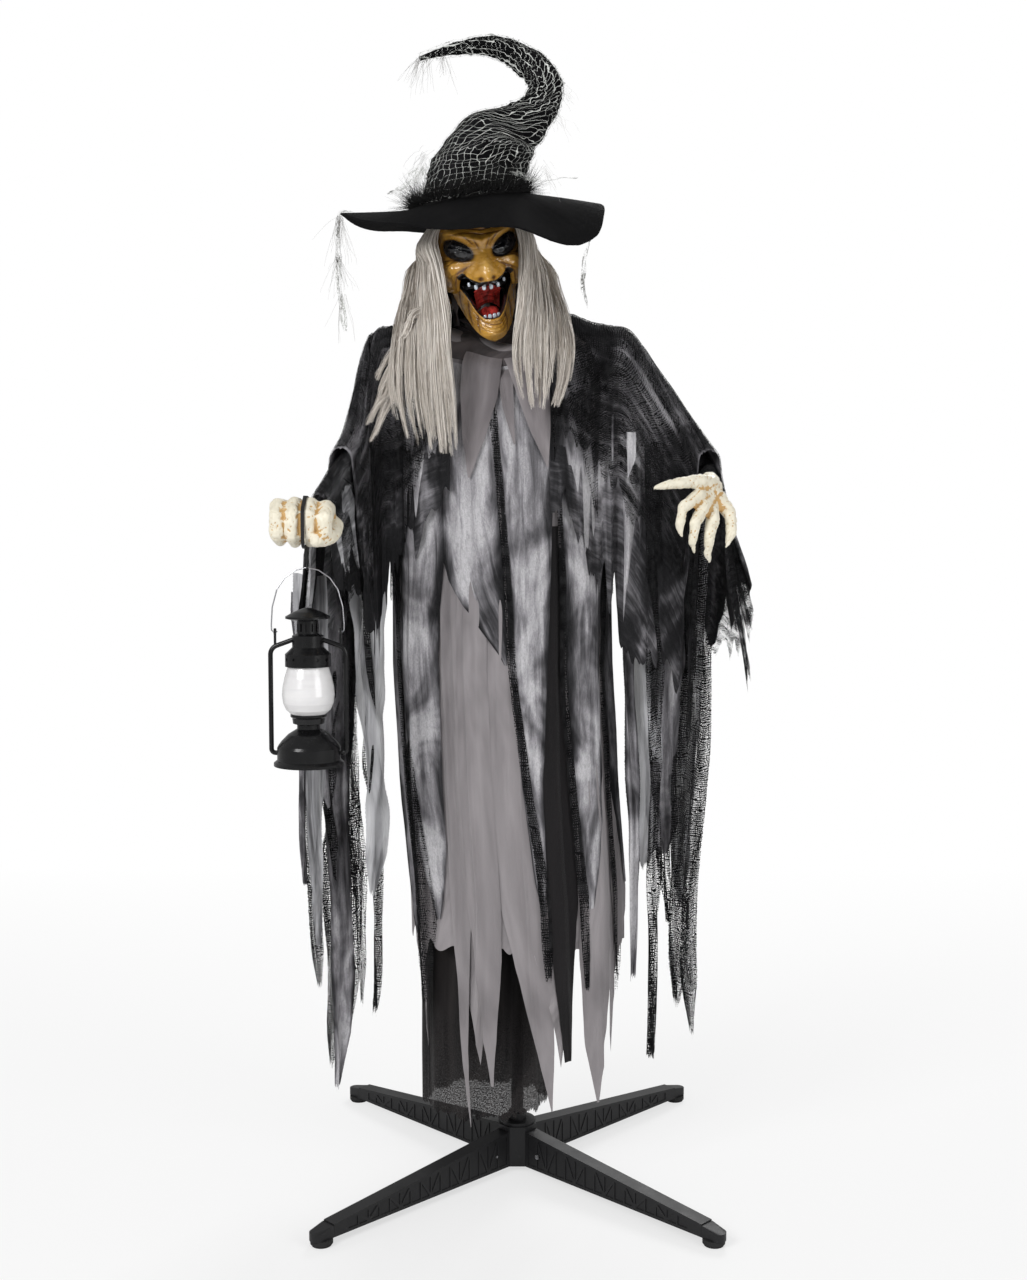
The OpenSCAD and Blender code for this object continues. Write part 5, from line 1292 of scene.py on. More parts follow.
# %% Lantern arm's sleeve
left = [
    sleeve("sleeve_left_dyed", STATIONS_L, -1, "lantern_arm", dyed_dark, 0.5, (0.96, 0.92), seed=1,
        rag=0.12),
    sleeve("sleeve_left_pale", STATIONS_L, -1, "lantern_arm", pale_chiffon, 2.0, (0.8, 1.08), 104,
        116, 2, 0.2, 0.58, 0.98),
    sleeve("sleeve_left_gauze", STATIONS_L, -1, "lantern_arm", sleeve_gauze, 3.6, (1.0, 1.0),
        seed=3, rag=0.2),
]
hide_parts("lantern_sleeve")
strips_left = {
    # name: place of its top, width, length, finish, turn, gather
    "strip_left_a": ([-290, -36, 995], 60, 870, dyed_ribbon, 6, 0.0),
    "strip_left_b": ([-276, -8, 1046], 58, 840, thick_gauze, 30, 0.0),
    "strip_left_c": ([-322, -104, 985], 64, 600, pale_chiffon, -10, 0.0),
    "strip_left_d": ([-318, -80, 1000], 49, 700, web_gauze, 10, 0.3),
    "strip_left_e": ([-262, -46, 1060], 44, 790, thick_gauze, 0, 0.55),
    "strip_left_f": ([-238, -52, 1090], 66, 640, pale_chiffon, 12, 0.0),
    "strip_left_g": ([-228, -40, 1100], 52, 860, web_gauze, 20, 0.4),
    "strip_left_h": ([-300, -20, 1020], 52, 880, web_gauze, -20, 0.2),
    "strip_left_i": ([-344, -96, 960], 26, 480, dyed_ribbon, -30, 0.0),
}
for k, (name, (top, wide, long_, finish, turn, gather)) in enumerate(strips_left.items()):
    strand_of_cloth(name, top, wide, long_, "lantern_arm", finish, turn, 14, 200 + 7 * k, 0.45,
        gather)

# %% Reaching arm's sleeve
right = [
    sleeve("sleeve_right_dyed", STATIONS_R, 1, "reaching_arm", dyed_dark, 0.5, (0.8, 0.62), seed=11,
        rag=0.14, last=0.86),
    sleeve("sleeve_right_gauze", STATIONS_R, 1, "reaching_arm", sleeve_gauze, 2.4, (1.0, 1.05),
        seed=12, rag=0.2),
    sleeve("sleeve_right_veil", STATIONS_R, 1, "reaching_arm", sleeve_gauze, 4.4, (0.7, 0.85),
        seed=13, rag=0.25, last=0.92),
]
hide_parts("reaching_sleeve")
strips_right = {
    "strip_right_a": ([208, -38, 1190], 92, 700, pale_chiffon, -4, 0.0),
    "strip_right_b": ([232, -34, 1150], 92, 640, dyed_ribbon, -8, 0.0),
    "strip_right_c": ([214, -62, 1190], 49, 1010, thick_gauze, 4, 0.6),
    "strip_right_d": ([262, -54, 1120], 72, 860, web_gauze, 2, 0.5),
    "strip_right_e": ([272, -40, 1120], 62, 690, pale_chiffon, 0, 0.0),
    "strip_right_f": ([284, -74, 1110], 49, 900, web_gauze, -12, 0.3),
    "strip_right_g": ([244, -8, 1150], 64, 760, thick_gauze, 20, 0.0),
    "strip_right_h": ([184, -52, 1210], 34, 900, dyed_ribbon, 0, 0.1),
}
for k, (name, (top, wide, long_, finish, turn, gather)) in enumerate(strips_right.items()):
    strand_of_cloth(name, top, wide, long_, "reaching_arm", finish, turn, 14, 300 + 7 * k, 0.4,
        gather)
print("sleeve pieces", len(left) + len(right) + len(strips_left) + len(strips_right))

# %% [markdown]
# ## Shoulder capes
# Dyed cloth with black gauze over it runs without a break from the neck over each
# shoulder to the arm, so both cloths cross the shoulder joint. They are made as
# sleeves whose first stations lie on the gown, and are fixed in place on no body.

# %% Capes
CAPE_L = [
    [[-104, 2, 1338], 180, 62, [250, 58], [300, 66]],
    [[-140, 2, 1338], 180, 56, [280, 44], [300, 58]],
    [[-172, 0, 1336], 181, 46, [330, 24], [330, 46]],
    [[-200, -2, 1336], 186, 39, [380, 14], [370, 40]],
    [[-228, -8, 1326], 198, 37, [420, 12], [400, 36]],
    [[-246, -32, 1262], 215, 27, [400, 14], [390, 34]],
    [[-258, -56, 1196], 232, 24, [330, 16], [330, 30]],
    [[-274, -92, 1160], 243, 20, [230, 18], [240, 26]],
]
CAPE_R = [
    [[50, 2, 1338], 0, 62, [250, 58], [300, 66]],
    [[86, 2, 1338], 0, 56, [280, 44], [300, 58]],
    [[118, 0, 1336], -1, 45, [330, 24], [340, 46]],
    [[148, -2, 1336], -4, 39, [400, 14], [380, 40]],
    [[182, -7, 1328], -12, 36, [450, 14], [400, 36]],
    [[234, -24, 1262], -22, 27, [430, 18], [380, 34]],
    [[288, -38, 1182], -44, 22, [360, 22], [330, 30]],
    [[300, -66, 1160], -70, 18, [240, 20], [250, 30]],
]


def cape(name, stations, side, body, start, end, finish, lift, depth, seed, first=0.0, last=1.0):
    points = sleeve_points(stations, side, 112, 124, lift, depth, first, last, seed, 0.16)
    piece = surface(name, points, flip=side < 0)
    wear(piece, finish)
    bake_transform(piece)
    hang(piece, points)
    return piece


ends_l = ((-0.175, 0, 1.345), (-0.24, 0, 1.345))
ends_r = ((0.12, 0, 1.345), (0.186, 0, 1.345))
capes = [
    cape("cape_left_dyed", CAPE_L, -1, "lantern_arm", *ends_l, dyed_dark, 0.0, (0.95, 0.85), 601),
    cape("cape_left_gauze", CAPE_L, -1, "lantern_arm", *ends_l, cape_gauze, 2.6, (0.66, 0.8), 603),
    cape("cape_right_dyed", CAPE_R, 1, "reaching_arm", *ends_r, dyed_mid, 0.0, (0.98, 0.9), 605),
    cape("cape_right_gauze", CAPE_R, 1, "reaching_arm", *ends_r, cape_gauze, 2.6, (0.55, 0.75),
        607),
]
print("capes", len(capes))

# %% [markdown]
# ## Mask
# The mask is one vinyl shell from the forehead to the open mouth, and the jaw is
# a second shell that swings on a rod. Both are heights over an angle q round
# the head and a level z. Wrinkles are added as sharp valleys, and the depth of
# each valley goes into a "crease" attribute that the paint reads as painted
# shade. The same attribute carries painted shade in the eye hollows, in the fold
# beside the nose and towards the sides, and painted highlight on nose and cheeks.

# %% Head frame
HEAD = np.array([-60, -22, 1475])
PITCH, ROLL, YAW = 4, 9, 5
SKULL_X, SKULL_Y, SKULL_H = 66, 84, 112


def head_at(p):
    """Turn by PITCH about X, ROLL about Y and YAW about Z, then move to HEAD."""
    x, y, z = p[..., 0], p[..., 1], p[..., 2]
    y, z = y * cosd(PITCH) - z * sind(PITCH), y * sind(PITCH) + z * cosd(PITCH)
    x, z = x * cosd(ROLL) - z * sind(ROLL), x * sind(ROLL) + z * cosd(ROLL)
    x, y = x * cosd(YAW) - y * sind(YAW), x * sind(YAW) + y * cosd(YAW)
    return np.stack([x, y, z], -1) + HEAD


FACE_W = [[-48, 55], [-30, 62], [-8, 67], [15, 66], [40, 65], [62, 59], [80, 48]]
FACE_D = [[-48, 83], [-30, 84], [-8, 84], [15, 82], [40, 84], [62, 76], [80, 64]]
LIP = [[0, -44], [12, -42], [24, -34], [33, -22], [42, -28], [55, -44], [70, -46], [92, -40]]


def valley(d, w):
    """A sharp crease: e to the minus distance over width."""
    return np.exp(-np.abs(d) / w)


def face_relief(q, z):
    """Nose, nostrils, brows, cheeks and eye hollows as bells; wrinkles as valleys."""
    k = np.abs(q)
    nose_w = mix(7.5, 10.5, smooth((10 - z) / 34)) - 3 * smooth((-28 - z) / 12)
    nose = 20 * bump(q, nose_w) * smooth((26 - z) / 48) * smooth((z + 47) / 9) + 5 * bump(q,
        6) * bump(z + 35, 7)
    wings = 5 * bump(k - 14, 6) * bump(z + 26, 8)
    brow = 9 * bump(z - 23 - 0.46 * k, 8) * bump(q, 60)
    cheek = 9 * bump(k - 50, 18) * bump(z + 12, 15)
    eye = -9 * bump(k - 35, 16) * bump(z - 15 - 0.3 * (k - 35), 14)
    fold = -3.5 * bump(k - 33 + (z + 20) * 0.5, 5) * bump(z + 22, 14)
    bags = 2.6 * bump(k - 34, 17) * bump(z + 6 - 0.1 * k, 3.0)
    knot = 3.0 * bump(k - 9, 5) * bump(z - 24, 7) + 2.2 * bump(q, 5) * bump(z - 15, 6)
    lines = 0
    for level, bend, lean, deep in ((34, 0.16, 0, 1.5), (43, 0.1, 1, 1.7), (52, 0.05, -1, 1.5),
        (61, 0.02, 1, 1.2)):
        d = z - level - bend * k + 2.2 * np.sin(np.radians(q * 5 + 60 * lean))
        lines = lines + deep * valley(d, 1.6) * bump(q, 44)
    for k0, z0, slope, span in ((16, 27, 1.4, 10), (7, 20, 3.0, 9), (46, -2, -0.5, 12),
        (52, 4, 0.1, 11), (50, 11, 0.5, 10), (30, -14, -0.45, 16), (38, -30, -1.1, 15),
        (47, -30, -1.3, 16)):
        d = (k - k0) * slope / np.hypot(1, slope) - (z - z0) / np.hypot(1, slope)
        lines = lines + 1.5 * valley(d, 1.3) * bump(k - k0, span) * bump(z - z0, span)
    nostril = 4.0 * bump(k - 8, 3.2) * bump(z + 33, 3.0)
    skin = 0.6 * noise(q / 6, z / 5, seed=51) + 0.35 * noise(q / 2.4, z / 2.2, seed=52)
    face = nose + wings + brow + cheek + eye + fold + bags + knot + skin
    return face - lines - nostril, lines / 1.6 + nostril / 3


def face_at(q, z, off=0.0):
    r, crease = face_relief(q, z)
    r = r + off
    p = np.stack([(table(z, FACE_W, 3) + r) * sind(q), -(table(z, FACE_D, 3) + r) * cosd(q), z], -1)
    return p, crease


# %% Mask shell
def mask():
    """Columns run round the face and rows from the hairline to the lip's line."""
    n, m = 168, 206
    q = np.linspace(-91.7, 91.7, m)[None, :] + np.zeros((n, 1))
    t = np.linspace(0, 1, n)[:, None]
    lip = table(np.abs(q[:1]), LIP, 2.5)
    z = mix(72, lip, t)
    outer, crease = face_at(q, z)
    curl = smooth((t - 0.965) / 0.035)
    inward = unit(outer * [1, 1, 0])
    outer = outer - inward * (5 * curl**2)[..., None]
    lips = smooth((t - 0.945) / 0.012) * (np.abs(q) < 42)
    sockets = bump(np.hypot((np.abs(q) - 36) / 21.5, (z - 16 - 0.45 * (np.abs(q) - 36)) / 14.5),
        0.9)
    eye_line = smooth((sockets - 0.16) / 0.12)
    # painted shade: the wrinkle valleys, the eye hollows and the fold beside the nose are darkened
    shade = crease + 0.55 * smooth((sockets - 0.04) / 0.3) + 0.4 * bump(np.abs(q) - 33 + (z + 20)
        * 0.5, 4) * bump(z + 22, 14)
    # painted highlight on the nose and on the cheeks
    shade = shade - 0.55 * bump(q, 7) * bump(z + 14, 16) - 0.4 * bump(np.abs(q) - 50,
        12) * bump(z + 8, 8)
    # painted shade towards the face's sides
    shade = shade + 0.35 * smooth((np.abs(q) - 62) / 24)
    inner, _ = face_at(q, z, -3.0)
    inner = inner - inward * (5 * curl**2)[..., None]
    marks = {"crease": shade, "lip": np.clip(lips + eye_line, 0, 1)}
    piece = shell("mask_shell", head_at(outer), head_at(inner), marks=marks)
    dress(piece, mask_vinyl, "head", "face_mask")
    return piece


mask()

# %% Jaw shell
JAW_W = [[-128, 31], [-118, 42], [-100, 46], [-80, 48], [-60, 50], [-40, 52], [-10, 53]]
JAW_D = [[-128, 74], [-118, 84], [-100, 84], [-80, 79], [-60, 76], [-40, 72], [-10, 60]]
JAW_HI = [[0, -92], [14, -90], [26, -78], [40, -50], [50, -36], [62, -26], [80, -14], [92, -12]]
JAW_LO = [[0, -128], [20, -125], [38, -110], [52, -88], [66, -64], [80, -42], [92, -34]]


def jaw():
    """Rows from the lower lip down under the chin, with bands of wrinkles on the chin."""
    n, m = 112, 206
    q = np.linspace(-91, 91, m)[None, :] + np.zeros((n, 1))
    k = np.abs(q)
    t = np.linspace(0, 1, n)[:, None]
    z = mix(table(k, JAW_HI, 2.5), table(k, JAW_LO, 2.5), t)
    r = 5 * bump(q, 20) * bump(z + 114, 9)
    r = r + 2.6 * smooth((t - 0.02) / 0.07) * smooth((0.24 - t) / 0.1) * bump(q, 40)
    lines = 0
    for row, deep in ((0.3, 1.5), (0.44, 1.1), (0.62, 1.3)):
        lines = lines + deep * valley((t - row - 0.04 * np.sin(np.radians(q * 6))) * 60,
            1.8) * bump(q, 34)
    for k0, deep in ((22, 1.2), (35, 1.4), (50, 1.2)):
        lines = lines + deep * valley(k - k0 - 8 * np.sin(t * 2.4),
            1.6) * smooth(t * 5) * smooth((1 - t) * 4)
    skin = 0.6 * noise(q / 6, z / 5, seed=61) + 0.4 * noise(q / 2.4, z / 2.2, seed=62)
    r = r + skin - lines * 0.8
    curl = smooth((0.03 - t) / 0.03)
    tuck = smooth((t - 0.93) / 0.07)

    def at(off):
        rr = r + off - 5 * curl**2 - 7 * tuck**2
        return np.stack([(table(z, JAW_W, 3) + rr) * sind(q), -(table(z, JAW_D, 3) + rr) * cosd(q),
            z], -1)

    lips = smooth((0.075 - t) / 0.02) * smooth((62 - k) / 8)
    # painted shade in the chin's wrinkles and towards the jaw's sides, painted highlight on the
    # front of the chin
    shade = lines / 1.5 + 0.3 * smooth((k - 58) / 20) - 0.5 * bump(q, 16) * bump(z + 112, 8)
    piece = shell("jaw_shell", head_at(at(0)), head_at(at(-2.6)),
        marks={"crease": shade, "lip": lips})
    dress(piece, mask_vinyl, "jaw", "jaw")


jaw()

# %% [markdown]
# ## Tongue and teeth
# The tongue is a low mound with a groove down its middle. Teeth are small rounded
# pegs: spheres squeezed towards a box, which is done by raising sine and cosine to
# a power below one.


# %% Tongue and teeth
def power(v, p):
    return np.sign(v) * np.abs(v) ** p


def pebbles(name, centres, radii, squares=0.6, turn=None, n=14, m=20):
    """Many squeezed spheres in one mesh: x, y, z are radii times powered sines."""
    parts = []
    for k, (c, r) in enumerate(zip(centres, radii)):
        v = np.linspace(-90, 90, n)[:, None]
        w = np.linspace(0, 360, m, endpoint=False)[None, :]
        x = r[0] * power(cosd(v), squares) * power(cosd(w), squares)
        y = r[1] * power(cosd(v), squares) * power(sind(w), squares)
        z = r[2] * power(sind(v), 0.8) * np.ones_like(w)
        a = 0 if turn is None else turn[k]
        p = np.stack([x * cosd(a) - y * sind(a), x * sind(a) + y * cosd(a), z], -1) + np.array(c)
        parts.append(p)
    b = bmesh.new()
    for p in parts:
        piece = surface("part", head_at(p), wrap=True)
        b.from_mesh(piece.data)
        bpy.data.objects.remove(piece)
    bmesh.ops.remove_doubles(b, verts=b.verts, dist=2e-5)
    bmesh.ops.recalc_face_normals(b, faces=b.faces)
    mesh = bpy.data.meshes.new(name)
    b.to_mesh(mesh)
    b.free()
    mesh.shade_smooth()
    made = bpy.data.objects.new(name, mesh)
    bpy.context.scene.collection.objects.link(made)
    return made


def row_of_teeth(name, body, node, angles, depth, across, z, radii):
    centres = [[across * sind(q), -depth * cosd(q), z + dz] for q, dz in angles]
    made = pebbles(name, centres, radii, 0.65, [q for q, _ in angles])
    dress(made, tooth_white, body, node)


row_of_teeth("teeth_upper", "head", "upper_teeth",
    [(-27, 8), (-17, 2.5), (-5.5, 0), (5, 0.3), (16, 2), (27, 9)], 77, 60, -45,
    [(2.3, 2.2, 3.4), (2.8, 2.5, 3.8), (3.1, 2.6, 4.0), (3.1, 2.6, 4.2), (2.7, 2.4, 3.7),
        (2.2, 2.1, 3.2)])
row_of_teeth("teeth_lower", "jaw", "lower_teeth", [(-14, 0.6), (-4, 0), (6, 0.2), (15, 1.2)], 73.5,
    42, -89, [(2.4, 2.2, 3.2), (3.0, 2.5, 3.8), (3.1, 2.5, 3.9), (2.5, 2.2, 3.4)])


def tongue():
    """A mound between the lower gums, its height the root of one minus the squares."""
    s = np.linspace(0, 1, 60)[:, None]
    c = np.linspace(0, 360, 60, endpoint=False)[None, :]
    half = 11.5 + 3.5 * smooth(s * 1.4) - 8.5 * smooth((0.12 - s) / 0.12)
    high = 3.2 + 5.5 * smooth(s * 1.2)
    y = mix(-67, -40, s) + 0 * c
    x = half * cosd(c) + 0 * s
    z = mix(-91, -80, smooth(s)) + high * power(sind(c), 0.8)
    z = z - 1.8 * bump(x, 2.0) * (sind(c) > 0) + 0.5 * noise(x / 3, y / 3, seed=77)
    close = np.sqrt(np.clip(s * 9, 0, 1)) * np.sqrt(np.clip((1 - s) * 9, 0, 1))
    x, z = x * close, -86 + (z + 86) * close + (1 - close) * mix(-4, 4, s)
    piece = surface("tongue_mound", head_at(np.stack([x, y, z], -1)), wrap=True)
    close_ends(piece)
    dress(piece, tongue_wet, "jaw", "tongue")


tongue()


def palate():
    """The red roof of the mouth with ridges across it, in the head's own frame."""
    s = np.linspace(0, 1, 50)[:, None]
    c = np.linspace(-1, 1, 60)[None, :]
    y = mix(-72, -36, s) + 8 * c**2
    x = (21 - 3 * s) * c
    z = -50 + 9 * (1 - c**2) * mix(0.7, 1, s) + 1.1 * np.sin(s * 34) * (1 - c**2) - 26 * s**2
    top = np.stack([x, y, z + 0 * x], -1)
    piece = shell("palate", head_at(top), head_at(top + [0, 0, 2.0]))
    dress(piece, tongue_wet, "head")


palate()


def throat():
    """A dark cup behind the teeth, so that nothing shows through the open mouth."""
    z = np.linspace(-96, -40, 40)[:, None]
    q = np.linspace(-100, 100, 60)[None, :]
    x = 30 * sind(q) + 0 * z
    y = -4 - 0 * z + 27 * cosd(q) + 1.2 * np.sin(z / 3)
    out = np.stack([x, y, z + 0 * x], -1)
    piece = shell("throat", head_at(out), head_at(out - unit(out * [1, 1, 0]) * 1.6))
    dress(piece, mouth_dark, "head", "mouth_lining")


throat()


def eye(side):
    """An almond lens: a squeezed sphere, drawn to a point at both corners, with lids."""
    v = np.linspace(-90, 90, 60)[:, None]
    w = np.linspace(0, 360, 90, endpoint=False)[None, :]
    x = 27 * sind(v) + 0 * w
    thin = cosd(v) ** 1.15
    y = 10 * thin * cosd(w)
    z = 16 * thin * sind(w)
    y = y + 0.8 * bump(z - 5, 1.8) - 0.8 * noise(x / 5, z / 4, y / 5, seed=88) * thin
    p = np.stack([x, y, z], -1)
    a = -side * 22
    px, pz = p[..., 0] * cosd(a) + p[..., 2] * sind(a), -p[..., 0] * sind(a) + p[..., 2] * cosd(a)
    b = side * 35
    py = p[..., 1]
    px, py = px * cosd(b) - py * sind(b), px * sind(b) + py * cosd(b)
    centre, _ = face_at(np.array(side * 36.0), np.array(16.0), 3.0)
    points = np.stack([px, py, pz], -1) + centre
    name = "eye_lens_left" if side < 0 else "eye_lens_right"
    piece = surface(name, head_at(points), wrap=True)
    close_ends(piece)
    dress(piece, eye_black, "head", "eye_left" if side < 0 else "eye_right")


eye(-1)
eye(1)
print("head pieces ready")

# %% [markdown]
# ## Hat
# The brim is stiff black felt that droops at the front, rises to a tip at the
# left and flares to a corner at the right. The crown is a soft cone of black
# cloth that has slumped and curled over: rings square to a bent path, with
# creases bunched on the inside of each bend. An off-white net is pulled over it,
# and black fur hides its foot.

# %% Brim
BRIM_R = [[-180, 0.72], [-140, 0.8], [-100, 1.02], [-90, 1.08], [-70, 0.98], [-40, 0.8], [0, 0.8],
    [35, 0.95], [55, 1.12], [72, 1.08], [95, 1.1], [110, 0.95], [140, 0.76], [180, 0.72]]
BRIM_FALL = [[-180, 22], [-130, 12], [-92, -14], [-60, 14], [-30, 44], [0, 54], [15, 62], [30, 84],
    [44, 98], [56, 88], [66, 66], [76, 44], [86, 30], [96, 24], [130, 24], [180, 22]]


def brim_at(q, s, off):
    """Radius grows with s; height falls with s to the power 1.25."""
    around = apart(q)
    reach = 112 * table(around, BRIM_R, 3)
    fall = table(around, BRIM_FALL, 6)
    wave = 2.5 * np.sin(np.radians(q * 7)) * s + 2.0 * noise(q / 26, s * 2, seed=21) * s
    x = (84 + reach * s) * sind(q)
    y = -(87 + reach * s) * cosd(q)
    z = 88 - fall * np.abs(s) ** 1.25 + wave + off
    return np.stack(np.broadcast_arrays(x, y, z), -1)


def brim():
    """One felt ring with a thickness, rounded over at its outer edge."""
    s = np.linspace(-0.08, 1, 64)[:, None]
    q = np.linspace(0, 360, 360, endpoint=False)[None, :]
    nap = 0.22 * noise(q * 1.9, s * 60, seed=22)
    top = brim_at(q, np.maximum(s, 0) + 0 * q, 3 + nap)
    low = brim_at(q, np.maximum(s, 0) + 0 * q, nap)
    inward = np.minimum(s, 0) * 60
    for side in (top, low):
        side[..., 0] += inward * sind(q)
        side[..., 1] -= inward * cosd(q)
    top[-1, :, 2] -= 0.8
    low[-1, :, 2] += 0.8
    piece = shell("brim_felt_ring", head_at(low), head_at(top), wrap=True)
    dress(piece, brim_felt, "head", "hat_brim")
    hang(piece, head_at(top), wrap=True)


brim()

# %% Crown
CROWN = np.array([[-66, -24, 1600, 78], [-56, -17, 1634, 75], [-38, -12, 1660, 60],
    [14, -7, 1692, 34], [40, 0, 1726, 27], [44, 4, 1756, 25], [18, 10, 1788, 20.5],
    [-36, 10, 1813, 15], [-96, 5, 1809, 8.5], [-154, 0, 1792, 3]], float)


def crown_points(off, n=164, m=128):
    """Rings carried along the bent path. Creases: ridges drawn out round the ring,
    deeper where the path bends; the crown's foot is an ellipse tilted with the head."""
    t = np.linspace(0, 1, n)
    path = along(CROWN, t, 400)
    ahead = unit(np.gradient(path[:, :3], axis=0))
    first = unit(ahead[0] * 0.2 + np.array([-0.15, -0.07, 1]))
    blend = smooth((t - 0.15) / 0.17)[:, None]
    ahead = unit(first * (1 - blend) + ahead * blend)
    u = unit(np.cross([0.0, 1.0, 0.0], ahead))
    v = np.cross(ahead, u)
    q = (np.linspace(0, 360, m, endpoint=False) + 92)[None, :]
    s = t[:, None]
    r = np.maximum(path[:, 3:4], 0.8)
    soft = smooth(s / 0.06) * np.minimum(1, r / 22)
    bunch = 1 - 2 * np.abs(noise(s * 46 + 0.25 * np.sin(np.radians(q * 2)), q / 60, seed=25))
    long_ = noise(q / 17, s * 9, seed=26)
    lump = 9 * bump((s - 0.17) / 0.07, 1) * bump(apart(q, 262) / 62, 1)
    lump = lump - 5 * bump((s - 0.29) / 0.03, 1) * (0.4 + bump(apart(q, 330) / 80, 1))
    out = soft * (2.3 * bunch + 2.4 * long_ + 1.0 * noise(q / 6, s * 60, seed=27)) + lump
    rr = r * (1 + 0.05 * np.cos(np.radians(3 * q + 70 * s * 8)) * smooth(s * 3)) + out + off
    body = path[:, None, :3] + rr[..., None] * (u[:, None] * sind(q)[..., None] - v[:,
        None] * cosd(q)[..., None])
    return body


def crown():
    outer = crown_points(0.0)
    m = outer.shape[1]
    q = np.linspace(0, 360, m, endpoint=False) + 92
    foot = lambda g: head_at(np.stack([(81 + g) * sind(q), -(84 + g) * cosd(q), np.full(m, 91.4)],
        -1))
    k = np.linspace(0, 1, 12)[:-1, None, None]
    outer = np.concatenate([mix(foot(0)[None], outer[:1], k), outer])
    inner = crown_points(-2.4)
    inner = np.concatenate([mix(foot(-2.6)[None], inner[:1], k), inner])
    piece = shell("crown_cone", outer, inner, wrap=True)
    dress(piece, crown_black, "head", "hat_crown")
    hang(piece, outer, wrap=True)


crown()


def net():
    """The same rings a little outside, pulled loose by slow noise."""
    points = crown_points(1.8, 222, 200)
    a = np.linspace(0, 360, 200, endpoint=False) + 92
    foot = head_at(np.stack([84.5 * sind(a), -87.5 * cosd(a), np.full(200, 93.0)], -1))[None]
    points = np.concatenate([mix(foot, points[:1], np.linspace(0, 1, 19)[:-1, None, None]), points])
    q = np.linspace(0, 360, 200, endpoint=False)[None, :]
    s = np.linspace(0, 1, 240)[:, None]
    loose = 1.3 + 1.3 * noise(q / 22, s * 14, seed=28) + 2.2 * bump(s - 0.97, 0.05)
    centre = points.mean(1, keepdims=True)
    points = points + unit(points - centre) * np.maximum(loose, 0.3)[..., None]
    piece = surface("crown_net", points, wrap=True)
    dress(piece, net_pale, "head")
    hang(piece, points, wrap=True)


net()


def net_rag(name, line, width, finish, seed, flat=0.0):
    """A torn rag of the same net: a strip along a line, its width turned and gathered."""
    base = np.array(line, float)
    n, m = 120, 15
    path = curve_weights(len(base), n) @ base
    t = np.linspace(0, 1, n)[:, None]
    c = np.linspace(-0.5, 0.5, m)[None, :]
    w = width * (1 - 0.55 * t) * (1 + 0.3 * noise(t * 11, 0.5, seed=seed))
    g = 90 * noise(t * 3, 0.3, seed=seed + 1) * (1 - flat)
    x = path[:, 0:1] + c * w * cosd(g) + 2.5 * noise(t * 9, c * 2, seed=seed + 2)
    y = path[:, 1:2] + c * w * sind(g) + 2.5 * noise(t * 8, c * 3, seed=seed + 3)
    z = path[:, 2:3] + 1.5 * noise(t * 9, c * 3, seed=seed + 4) + 0 * c
    points = np.stack([x, y, z], -1)
    piece = surface(name, points)
    dress(piece, finish, "head")
    hang(piece, points)
    return piece


tip_left = head_at(brim_at(np.array(-92.0), np.array(0.97), 4.0))
print("brim's left tip", tip_left.round(0))
rags = [
    net_rag("rag_tip", [tip_left + [12, 0, 2], tip_left + [-4, -3, -6], tip_left + [-8, -5, -60],
        tip_left + [-4, -4, -120], tip_left + [2, -2, -184]], 15, net_thick, 401),
    net_rag("rag_right", [[96, -20, 1560], [122, -30, 1548], [112, 20, 1500], [104, 30, 1450],
        [112, 24, 1408]], 9, net_thick, 405),
    net_rag("rag_left_foot", [[-150, -60, 1612], [-168, -62, 1586], [-182, -66, 1578],
        [-196, -60, 1572]], 26, net_thick, 409, 0.9),
    net_rag("rag_right_foot", [[-6, -98, 1598], [30, -100, 1584], [62, -88, 1590], [92, -62, 1596]],
        18, net_thick, 413, 0.9),
]
print("rags of net", len(rags))


# %% Fur trim and wisps
def fur():
    """Short strands from the ring round the crown's foot: each leaves the ring's own
    surface, then bends down and sideways by noise."""
    count, steps = 6400, 5
    q = dice.random(count) * 360
    tube = dice.random(count) * 300 - 150
    length = (10 + 12 * dice.random(count)) * (1 + 0.55 * bump(apart(q), 62))
    base = np.stack([(86.8 + 3.6 * cosd(tube)) * sind(q), -(89.8 + 3.6 * cosd(tube)) * cosd(q),
        96 + 4.2 * sind(tube)], -1)
    out = unit(np.stack([cosd(tube) * sind(q), -cosd(tube) * cosd(q), sind(tube) * 1.1 + 0.9], -1))
    drift = dice.normal(size=(count, 3)) * 0.55
    t = np.linspace(0, 1, steps)[None, :, None]
    lines = base[:, None] + length[:, None, None] * (out[:, None] * t + drift[:, None] * t**1.6)
    lines[..., 2] = np.maximum(lines[..., 2], 93 - 2 * t[..., 0] * 3)
    lines = head_at(lines)
    width = np.broadcast_to(0.9 * (1 - t[..., 0] * 0.85), (count, steps))
    facing = unit(np.cross(head_at(base + out) - head_at(base), dice.normal(size=(count, 3))))[:,
        None]
    piece = ribbons("fur_band", lines, width, np.broadcast_to(facing, lines.shape))
    dress(piece, fur_black, "head", "hat_trim")


fur()


